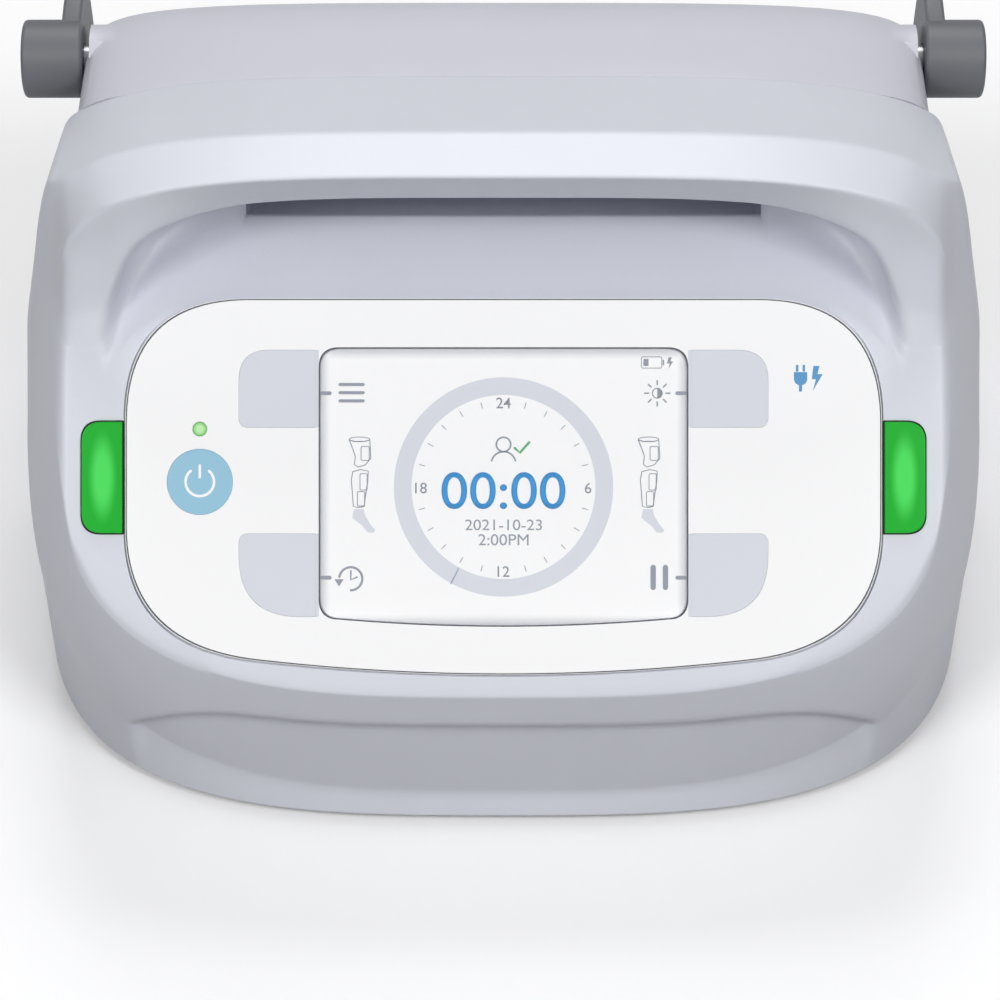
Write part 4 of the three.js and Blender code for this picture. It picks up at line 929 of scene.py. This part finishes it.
class PUMP_OT_display(bpy.types.Operator):
    """Builds the lit display with its dial, digits and pictograms, and the window over it"""

    bl_idname = "pump.display"
    bl_label = "Display"

    def execute(self, context):
        face = slab("display_face", window_outline(0.05), -1.6, SCREEN_Z)
        # The display face carries painted shade round its rim
        dress(finished(face, 35), lit_screen_with_painted_rim_shade("liquid_crystal_white"), "window_clear", "root",
              "display_window")
        foot = ((-1.0, -4.3), (0.9, -4.3), (1.2, -5.6), (2.3, -7.4), (3.2, -8.4), (2.9, -8.9), (1.7, -8.9),
                (0.6, -7.5), (-0.6, -6.6), (-1.3, -6.0))
        pale = [annulus((0, 0), 21.4, 17.95, PRINT_LOW, PRINT_TOP)]
        pale += [mark([(middle + x, a) for x, a in foot]) for middle in LEGS]
        grey = [*self.clock(), *self.pictograms(), *[line for middle in LEGS for line in self.leg(middle)]]
        blue = [words("00:00", 0, -0.7, 7.2, 0.004, 24.2), stroke([(-8.75, -15.9), (-10.3, -18.9)], 0.16)]
        green = [stroke([(2.2, 7.6), (3.2, 6.7), (5.0, 8.7)], 0.5)]
        for name, marks, tone, slot in (("display_grey_marks", grey, "#949AA6", "print_grey"),
                                        ("display_blue_marks", blue, "#2E98DE", "print_blue"),
                                        ("display_dial", pale, "#D9DCE5", "key_grey"),
                                        ("display_tick", green, "#5DB075", "print_green")):
            dress(joined(marks, name), printed_film("ink_" + name, tone, 0.6, 0.04, 1.25), slot)
        pane = rounded(slab("display_cover", window_outline(0), -0.05, 0.16), 0.1, 2, 60)
        dress(finished(pane, 30), clear_cover("acrylic_cover"), "window_clear")
        return {"FINISHED"}

    @staticmethod
    def clock():
        """The hour strokes of the dial, its four numbers, and the date and time in it."""
        hours = [stroke([polar((0, 0), radius, 90 - 15 * hour) for radius in (15.9, 17.0)], 0.16)
                 for hour in range(24) if hour % 6]
        places = (("24", 0, 16.4), ("6", 16.5, -0.2), ("12", 0, -16.5), ("18", -16.1, -0.2))
        numbers = [words(text, x, a, 2.1, 0.004) for text, x, a in places]
        return [*hours, *numbers, words("2021-10-23", 0, -7.4, 2.1, 0.0, 15.0),
                words("2:00PM", 0, -10.3, 2.2, 0.0, 9.8)]

    @staticmethod
    def pictograms():
        """The grey symbols: person, tabs, menu, history, pause, brightness, battery and mains."""
        strokes = [(arc((0, 4.5), 2.4, 165, 15, 30), 0.34),
                   (arc((-29.8, -17.9), 2.25, 170, -90, 30), 0.45),
                   ([(-29.8, -16.4), (-29.8, -18.1), (-28.6, -17.6)], 0.35),
                   ([(31.2, 23.9), (31.2, 24.7)], 0.3)]
        strokes += [([(side * 33.9, a), (side * 35.4, a)], 0.75) for side in (-1, 1) for a in (18.3, -17.7)]
        strokes += [([(-31.9, a), (-27.4, a)], 0.62) for a in (20.0, 18.4, 16.8)]
        strokes += [([(x, -15.7), (x, -19.6)], 1.05) for x in (29.2, 31.6)]
        strokes += [([polar(SUN, radius, 45 * k) for radius in (1.7, 2.45)], 0.3) for k in range(8)]
        shapes = ([(-33.0, -18.0), (-31.2, -18.0), (-32.1, -19.4)],
                  [(30.0, 19.25), *arc(SUN, 0.95, 90, -90, 16)[1:-1], (30.0, 17.35)],
                  rounded_box(27.3, 23.6, 28.3, 25.0, *[0.1] * 4),
                  [(32.2, 25.3), (32.8, 25.3), (32.6, 24.5), (33.1, 24.5), (32.2, 23.1), (32.4, 24.1),
                   (31.9, 24.1)])
        return [*[stroke(points, width) for points, width in strokes], *[mark(outline) for outline in shapes],
                *loop(arc((0, 8.3), 1.4, 0, 352.5, 46), 0.34), *loop(arc(SUN, 0.95, 0, 352.5, 46), 0.22),
                *loop(rounded_box(26.9, 23.2, 30.9, 25.4, *[0.4] * 4), 0.16)]

    @staticmethod
    def leg(x):
        """A generic leg with a two-part sleeve, in outline."""
        thigh = [(-1.9, 9.2), (-1.0, 8.9), (1.2, 8.9), (2.1, 9.2), (2.2, 7.5), (2.3, 5.6), (1.2, 4.3),
                 (-0.2, 3.9), (-0.9, 4.4), (-0.7, 6.0), (-1.2, 7.4)]
        shin = [(-1.2, 3.0), (0.3, 3.4), (1.8, 3.1), (1.7, 1.0), (1.3, -1.5), (1.0, -3.8), (-0.1, -4.0),
                (-1.1, -3.8), (-1.3, -1.0), (-1.5, 1.4)]
        turns = [math.tau * k / 24 for k in range(24)]
        hem = [(x + 0.1 + 2.0 * math.cos(turn), 9.3 + 0.45 * math.sin(turn)) for turn in turns]
        lines = [*loop([(x + px, a) for px, a in thigh], 0.2), *loop([(x + px, a) for px, a in shin], 0.2),
                 *loop(hem, 0.17)]
        for left, low, right, high in ((0.4, 5.2, 2.0, 7.9), (0.2, -0.6, 1.6, 2.6), (-0.3, -3.7, 1.1, -0.9)):
            lines += loop(rounded_box(x + left, low, x + right, high, *[0.3] * 4), 0.17)
        return lines


def lit_screen_with_painted_rim_shade(name):
    """Liquid crystal display lit from behind: an even white, greyed softly within 2 mm of its rim by painted
    shade, which stands in for the shade of the recess that it sits in."""
    material = printed_film(name, "#FBFBFC", 0.4, 0.04)
    tree = material.node_tree
    place = add_node(tree, "ShaderNodeTexCoord").outputs["Object"]
    near = add_node(tree, "ShaderNodeMapping", mapping_into(PANEL), {"Vector": place})
    whole = add_node(tree, "ShaderNodeVectorMath", {"operation": "ABSOLUTE"}, {0: near.outputs[0]})
    split = add_node(tree, "ShaderNodeSeparateXYZ", {}, {0: whole.outputs[0]})
    edges = {}
    for axis, start, end in ((0, 33.6, 35.9), (1, 24.6, 27.2)):
        ramp = add_node(tree, "ShaderNodeMapRange", {"interpolation_type": "SMOOTHSTEP", 1: start, 2: end},
                        {0: split.outputs[axis]})
        edges[axis] = ramp.outputs[0]
    rim = add_node(tree, "ShaderNodeMath", {"operation": "MAXIMUM"}, edges)
    # Painted shade: the screen greys towards #C4C5CB within 2 mm of its rim, the shade of the recess it sits
    # in
    shade = add_node(tree, "ShaderNodeMix", {"data_type": "RGBA", 6: colour("#FBFBFC"), 7: colour("#C4C5CB")},
                     {0: rim.outputs[0]})
    for socket in ("Base Color", "Emission Color"):
        tree.links.new(shade.outputs[2], tree.nodes["Principled BSDF"].inputs[socket])
    return material


def clear_cover(name):
    """Hard-coated acrylic over the display: nearly invisible but for its gloss."""
    white = colour("#FFFFFF")
    return new_material(name, {"Base Color": white, "Roughness": 0.12, "IOR": 1.49, "Alpha": 0.025})[0]


# The bed hook, the rear sockets and the fasteners

def turned_metal(name, base, roughness=0.32):
    """Turned or plated metal: bright, with fine tool lines that streak the gloss."""
    material, tree, shader = new_material(name, {"Base Color": colour(base), "Metallic": 1.0})
    place = add_node(tree, "ShaderNodeTexCoord").outputs["Object"]
    lines = add_node(tree, "ShaderNodeTexNoise", {"Scale": 900.0, "Detail": 2.0}, {"Vector": place})
    worn = add_node(tree, "ShaderNodeMapRange", {3: roughness - 0.08, 4: roughness + 0.12},
                    {0: lines.outputs["Fac"]})
    tree.links.new(worn.outputs[0], shader.inputs["Roughness"])
    return material


class PUMP_OT_bed_hook(bpy.types.Operator):
    """Builds the swinging bed hook with its hubs, its rubber pad and its two steel pins"""

    bl_idname = "pump.bed_hook"
    bl_label = "Bed hook"

    def execute(self, context):
        looks = context.scene.pump_looks
        arm_side = [(93, 102), *curve((101, 102), (114, 102), (114, 89), 16), (114, 26), (107, 26),
                    *curve((107, 76), (107, 88), (95, 88), 16), (93, 88)]
        bar_side = [(96, 26.2), (113.8, 26.2), (113.8, 37.8), (107.2, 37.8), (107.2, 30), (96, 30)]
        hook = rounded(slab("bed_hook_frame", bar_side, -88.6, 88.6, SIDEWAYS), 0.9)
        for side in (-1, 1):
            arm = rounded(slab("arm", arm_side, *mirrored(side, 86.6, 90.6), SIDEWAYS), 0.8)
            hub = rod("hub", "x", 8, *mirrored(side, 86, 98.6), HINGE)
            dish(hub, Vector((side, 0, 0)), 2.2, 0.5)
            unite(hook, arm, rounded(hub, 1.1, 4, 50))
        carve(hook, *[rod("bore", "x", 3.3, *mirrored(side, 85, 99), HINGE) for side in (-1, 1)])
        dress(finished(hook), moulded_plastic("glass_filled_nylon_hook", looks.hook, 0.5, 0.6, 0.3, 0.05),
              "dark_plastic", "hook", "bed_hook")
        pad = rounded(cuboid("bed_hook_pad", (-60, 96, 30.3), (60, 106.7, 32.5)), 0.6)
        carve(pad, *[cuboid("groove", (-56, y, 31.9), (56, y + 1, 33)) for y in (97.6, 99.8, 102, 104.2)])
        dress(finished(pad), moulded_rubber("moulded_rubber_pad"), "rubber_dark", "hook", "hook_pad")
        steel = turned_metal("turned_steel_pins", "#B9BCC0")
        for side, word in SIDES:
            pin, head = [rounded(rod(name, "x", radius, *mirrored(side, *reach), HINGE), 0.4, 2, 60)
                         for name, radius, reach in (("hook_pin_rod_" + word, 3, (72.7, 98.3)),
                                                     ("head", 4.2, (71.7, 73.7)))]
            dress(finished(unite(pin, head)), steel, "steel", "root", "hook_pin_" + word)
        return {"FINISHED"}


class PUMP_OT_rear_sockets(bpy.types.Operator):
    """Builds the two hose sockets and the mains inlet at the back"""

    bl_idname = "pump.rear_sockets"
    bl_label = "Rear sockets"

    def execute(self, context):
        looks = context.scene.pump_looks
        plastic = moulded_plastic("moulded_nylon_sockets", looks.socket, 0.45, 0.5, 0.2, 0.05)
        for x, word in zip(PORTS, "ab"):
            centre = (x, PORT_Z)
            socket = rod("hose_socket_" + word, "y", 9, 92, 104.5, centre)
            flange = rounded(rod("flange", "y", 11, 104.3, 106.3, centre, sides=96), 0.6)
            unite(socket, flange, rod("neck", "y", 3, 84.3, 92.5, centre, sides=32))
            carve(socket, rod("bore", "y", 6.4, 93, 107, centre))
            on_picked(socket, "edges", lambda edge: self.on_mouth(socket, edge, x),
                      lambda: bpy.ops.mesh.bevel(offset=0.7 * MM, segments=3))
            unite(socket, annulus(centre, 6.5, 5.6, -97, -95.4, UPRIGHT))
            dress(finished(socket), plastic, "dark_plastic", "root", "air_port_" + word)
        inlet = slab("mains_inlet", self.inlet_outline(14, 10, 4, 1), -104.5, -84, UPRIGHT)
        unite(inlet, rounded(slab("flange", self.inlet_outline(17, 13, 3, 3), -106.3, -104.3, UPRIGHT), 0.5))
        carve(inlet, slab("well", self.inlet_outline(12, 8, 4, 1), -108, -91, UPRIGHT))
        dress(finished(inlet), plastic, "dark_plastic", "root", "power_inlet")
        places = [(INLET_X + x, PORT_Z + z) for x, z in ((-7, -2.5), (7, -2.5), (0, 2.5))]
        blades = [cuboid("blade", (x - 1, 90, z - 2), (x + 1, 100, z + 2)) for x, z in places]
        pins = joined([rounded(blade, 0.5) for blade in blades], "mains_inlet_blades")
        dress(finished(pins), turned_metal("nickel_plated_brass", "#C9C7C0"), "steel")
        return {"FINISHED"}

    @staticmethod
    def on_mouth(socket, edge, x):
        """Whether an edge runs round the socket's mouth."""
        ends = [BODY.inverted() @ socket.data.vertices[i].co for i in edge.vertices]
        return all(abs(end.y - 106.3) < 0.05 and math.hypot(end.x - x, end.z - PORT_Z) < 7 for end in ends)

    @staticmethod
    def inlet_outline(half, tall, upper, lower):
        """An outline round the mains inlet's middle, with the radii of its upper and its lower corners."""
        return rounded_box(INLET_X - half, PORT_Z - tall, INLET_X + half, PORT_Z + tall,
                           upper, lower, lower, upper)


class PUMP_OT_screws(bpy.types.Operator):
    """Builds the cross-head screws under the base and in the battery door"""

    bl_idname = "pump.screws"
    bl_label = "Screws"

    def execute(self, context):
        here = Matrix.Scale(MM, 4)
        screw = rounded(rod("screw", "z", 2.8, 0, 1.5, (0, 0), here, 48), 0.4, 3, 60)
        carve(screw, unite(cuboid("slot", (-1.7, -0.35, -1), (1.7, 0.35, 0.9), here),
                           cuboid("slot", (-0.35, -1.7, -1), (0.35, 1.7, 0.9), here)))
        steel = (turned_metal("zinc_plated_steel", "#B9BCC0"), "steel")
        brass = (turned_metal("turned_brass", "#C9A44C"), "brass")
        base = ((-78, -3), (-88, 62.5), (78, -3), (88, 62.5))
        screws = [(f"base_screw_{i}", spot, 16.5, steel) for i, spot in enumerate(base, 1)]
        for name, (x, y), top, finish in [*screws, ("battery_door_screw", (-70.5, 16), 5.5, brass)]:
            head = screw.copy()
            head.data = screw.data.copy()
            head.name = name + "_body"
            context.scene.collection.objects.link(head)
            head.data.transform(BODY @ Matrix.Translation((x, y, FOOT_HEIGHT)) @ here.inverted())
            unite(head, rounded(rod("shank", "z", 1.4, 3.8, top, (x, y), sides=32), 0.3, 2, 60))
            dress(finished(head), *finish, "root", name)
        bpy.data.objects.remove(screw, do_unlink=True)
        return {"FINISHED"}


# The works inside keep their CAD solids and take real finishes

def circuit_board(name):
    """Glass-fibre laminate under green solder mask: a smooth skin with paler tracks showing through."""
    material, tree, shader = new_material(name, {"Roughness": 0.4})
    place = add_node(tree, "ShaderNodeTexCoord").outputs["Object"]
    tracks = add_node(tree, "ShaderNodeTexBrick", {
        "Color1": colour("#1F5A38"), "Color2": colour("#2A6E47"), "Mortar": colour("#3F8A5B"),
        "Scale": 1 / (9 * MM), "Mortar Size": 0.06, "Row Height": 0.35, "Brick Width": 0.8},
        {"Vector": place})
    tree.links.new(tracks.outputs["Color"], shader.inputs["Base Color"])
    return material


def cast_metal(name, base):
    """Sand-blasted die-cast aluminium: dull grey metal with a coarse even grain."""
    material = turned_metal(name, base, 0.5)
    tree = material.node_tree
    place = add_node(tree, "ShaderNodeTexCoord").outputs["Object"]
    grit = add_node(tree, "ShaderNodeTexNoise", {"Scale": 0.6 / (0.8 * MM), "Detail": 3.0},
                    {"Vector": place})
    bump = add_node(tree, "ShaderNodeBump", {"Strength": 0.4, "Distance": 0.15 * MM},
                    {"Height": grit.outputs["Fac"]})
    tree.links.new(bump.outputs["Normal"], tree.nodes["Principled BSDF"].inputs["Normal"])
    return material


class PUMP_OT_works(bpy.types.Operator):
    """Gives the boards, compressor, valves, tubes and battery inside their finishes"""

    bl_idname = "pump.works"
    bl_label = "Works inside"

    def execute(self, context):
        coat(circuit_board("solder_mask_green"), "display_board", "alarm_board_left", "alarm_board_right",
             "main_board", "power_supply")
        coat(turned_metal("pressed_steel_display", "#9AA0A8"), "display_module")
        coat(cast_metal("die_cast_aluminium", "#A9ADB2"), "pump_body")
        coat(turned_metal("ground_steel_armature", "#B9BCC0", 0.25), "pump_armature")
        coat(moulded_plastic("moulded_nylon_works", "#55565B", 0.5, 0.6, 0.3, 0.05), "pump_head_left",
             "pump_head_right", "solenoid_valve_1", "solenoid_valve_2", "solenoid_valve_3", "pressure_sensor",
             "speaker")
        coat(moulded_rubber("moulded_rubber_mounts"), "pump_mount_front", "pump_mount_rear")
        coat(moulded_plastic("extruded_silicone", "#E6E6E2", 0.4, 1.0, 0.1, 0.02, 1.41), "valve_block",
             "air_tube_left", "air_tube_right")
        coat(moulded_plastic("shrink_wrap_blue", "#3B5F8A", 0.35, 2.5, 0.2, 0.04), "battery_pack")
        return {"FINISHED"}


class PUMP_OT_stage(bpy.types.Operator):
    """Builds the pale floor, the soft light and the camera of the photograph's view"""

    bl_idname = "pump.stage"
    bl_label = "Stage"

    def execute(self, context):
        deselect()
        bpy.ops.mesh.primitive_plane_add(size=6, location=(0, 0, 0))
        floor = added("floor")
        floor.data.materials.append(self.paper())
        view = bpy.data.cameras.new("camera")
        camera = bpy.data.objects.new("camera", view)
        context.scene.collection.objects.link(camera)
        centre = Vector((0, BODY_Y * MM, PANEL_HEIGHT * MM))
        tilt = Matrix.Rotation(PANEL_TILT, 4, "X")
        camera.matrix_world = Matrix.Translation(centre + tilt @ Vector((0, 0, 0.7))) @ tilt
        view.sensor_width, view.lens, view.clip_start = 36, 129.24, 0.01
        view.shift_x, view.shift_y = -0.0035, -0.013
        context.scene.camera = camera
        sizes = context.scene.pump_sizes
        for name, spot, size, energy in (("lamp_left", (-0.52, -0.58, 1.0), 0.35, sizes.lamp_front * 0.94),
                                         ("lamp_right", (0.52, -0.58, 1.0), 0.35, sizes.lamp_front),
                                         ("lamp_low", (0, -1.25, 0.42), 0.5, sizes.lamp_low),
                                         ("lamp_above", (0.1, -0.1, 1.3), 0.8, sizes.lamp_above),
                                         ("lamp_behind", (0.0, 0.72, 0.98), 0.5, sizes.lamp_behind)):
            light = bpy.data.lights.new(name, "AREA")
            light.energy, light.size = energy, size
            lamp = bpy.data.objects.new(name, light)
            context.scene.collection.objects.link(lamp)
            lamp.location = spot
            lamp.rotation_euler = (Vector((0, 0, 0.05)) - lamp.location).to_track_quat("-Z", "Y").to_euler()
        world = bpy.data.worlds.new("world")
        world.use_nodes = True
        back = world.node_tree.nodes["Background"]
        back.inputs["Color"].default_value = (1, 1, 1, 1)
        seen = add_node(world.node_tree, "ShaderNodeLightPath").outputs["Is Camera Ray"]
        glow = add_node(world.node_tree, "ShaderNodeMapRange", {"To Min": 0.12, "To Max": 0.9},
                        {"Value": seen})
        world.node_tree.links.new(glow.outputs["Result"], back.inputs["Strength"])
        context.scene.world = world
        context.scene.view_settings.view_transform = "Standard"
        return {"FINISHED"}

    @staticmethod
    def paper():
        """Matt white background paper: near white to the eye, grey to the light that it throws back up."""
        material, tree, shader = new_material(
            "matt_white_paper", {"Roughness": 0.9, "Specular IOR Level": 0.0})
        path = add_node(tree, "ShaderNodeLightPath")
        seen = path.outputs["Is Camera Ray"]
        for ray in ("Is Glossy Ray", "Is Transmission Ray"):
            seen = add_node(tree, "ShaderNodeMath", {"operation": "ADD", "use_clamp": True},
                            {0: seen, 1: path.outputs[ray]}).outputs[0]
        tone = add_node(tree, "ShaderNodeMix",
                        {"data_type": "RGBA", 6: colour("#6A6A6C"), 7: colour("#F7F7F8")}, {0: seen})
        tree.links.new(tone.outputs[2], shader.inputs["Base Color"])
        glow = add_node(tree, "ShaderNodeMath", {"operation": "MULTIPLY", 1: 0.1}, {0: seen})
        tree.links.new(glow.outputs[0], shader.inputs["Emission Strength"])
        return material


class PUMP_PT_pieces(bpy.types.Panel):
    """The pump's pieces, in the order in which they are made"""

    bl_idname = "PUMP_PT_pieces"
    bl_label = "Compression therapy pump"
    bl_space_type = "VIEW_3D"
    bl_region_type = "UI"
    bl_category = "Pump"

    def draw(self, context):
        for group in (context.scene.pump_looks, context.scene.pump_sizes):
            for name in group.bl_rna.properties.keys():
                if name not in ("rna_type", "name"):
                    self.layout.prop(group, name)
        for step in STEPS:
            self.layout.operator(step.bl_idname)


STEPS = (PUMP_OT_stage, PUMP_OT_front_housing, PUMP_OT_rear_housing, PUMP_OT_underside,
         PUMP_OT_panel_film, PUMP_OT_keys, PUMP_OT_lights, PUMP_OT_display, PUMP_OT_bed_hook,
         PUMP_OT_rear_sockets, PUMP_OT_screws, PUMP_OT_works)
CLASSES = (PumpLooks, PumpSizes, *STEPS, PUMP_PT_pieces)


def register():
    for cls in CLASSES:
        bpy.utils.register_class(cls)
    bpy.types.Scene.pump_looks = bpy.props.PointerProperty(type=PumpLooks)
    bpy.types.Scene.pump_sizes = bpy.props.PointerProperty(type=PumpSizes)


def unregister():
    del bpy.types.Scene.pump_looks, bpy.types.Scene.pump_sizes
    for cls in reversed(CLASSES):
        bpy.utils.unregister_class(cls)


def main():
    register()
    for step in STEPS:
        group, name = step.bl_idname.split(".")
        getattr(getattr(bpy.ops, group), name)()


if __name__ == "__main__":
    main()
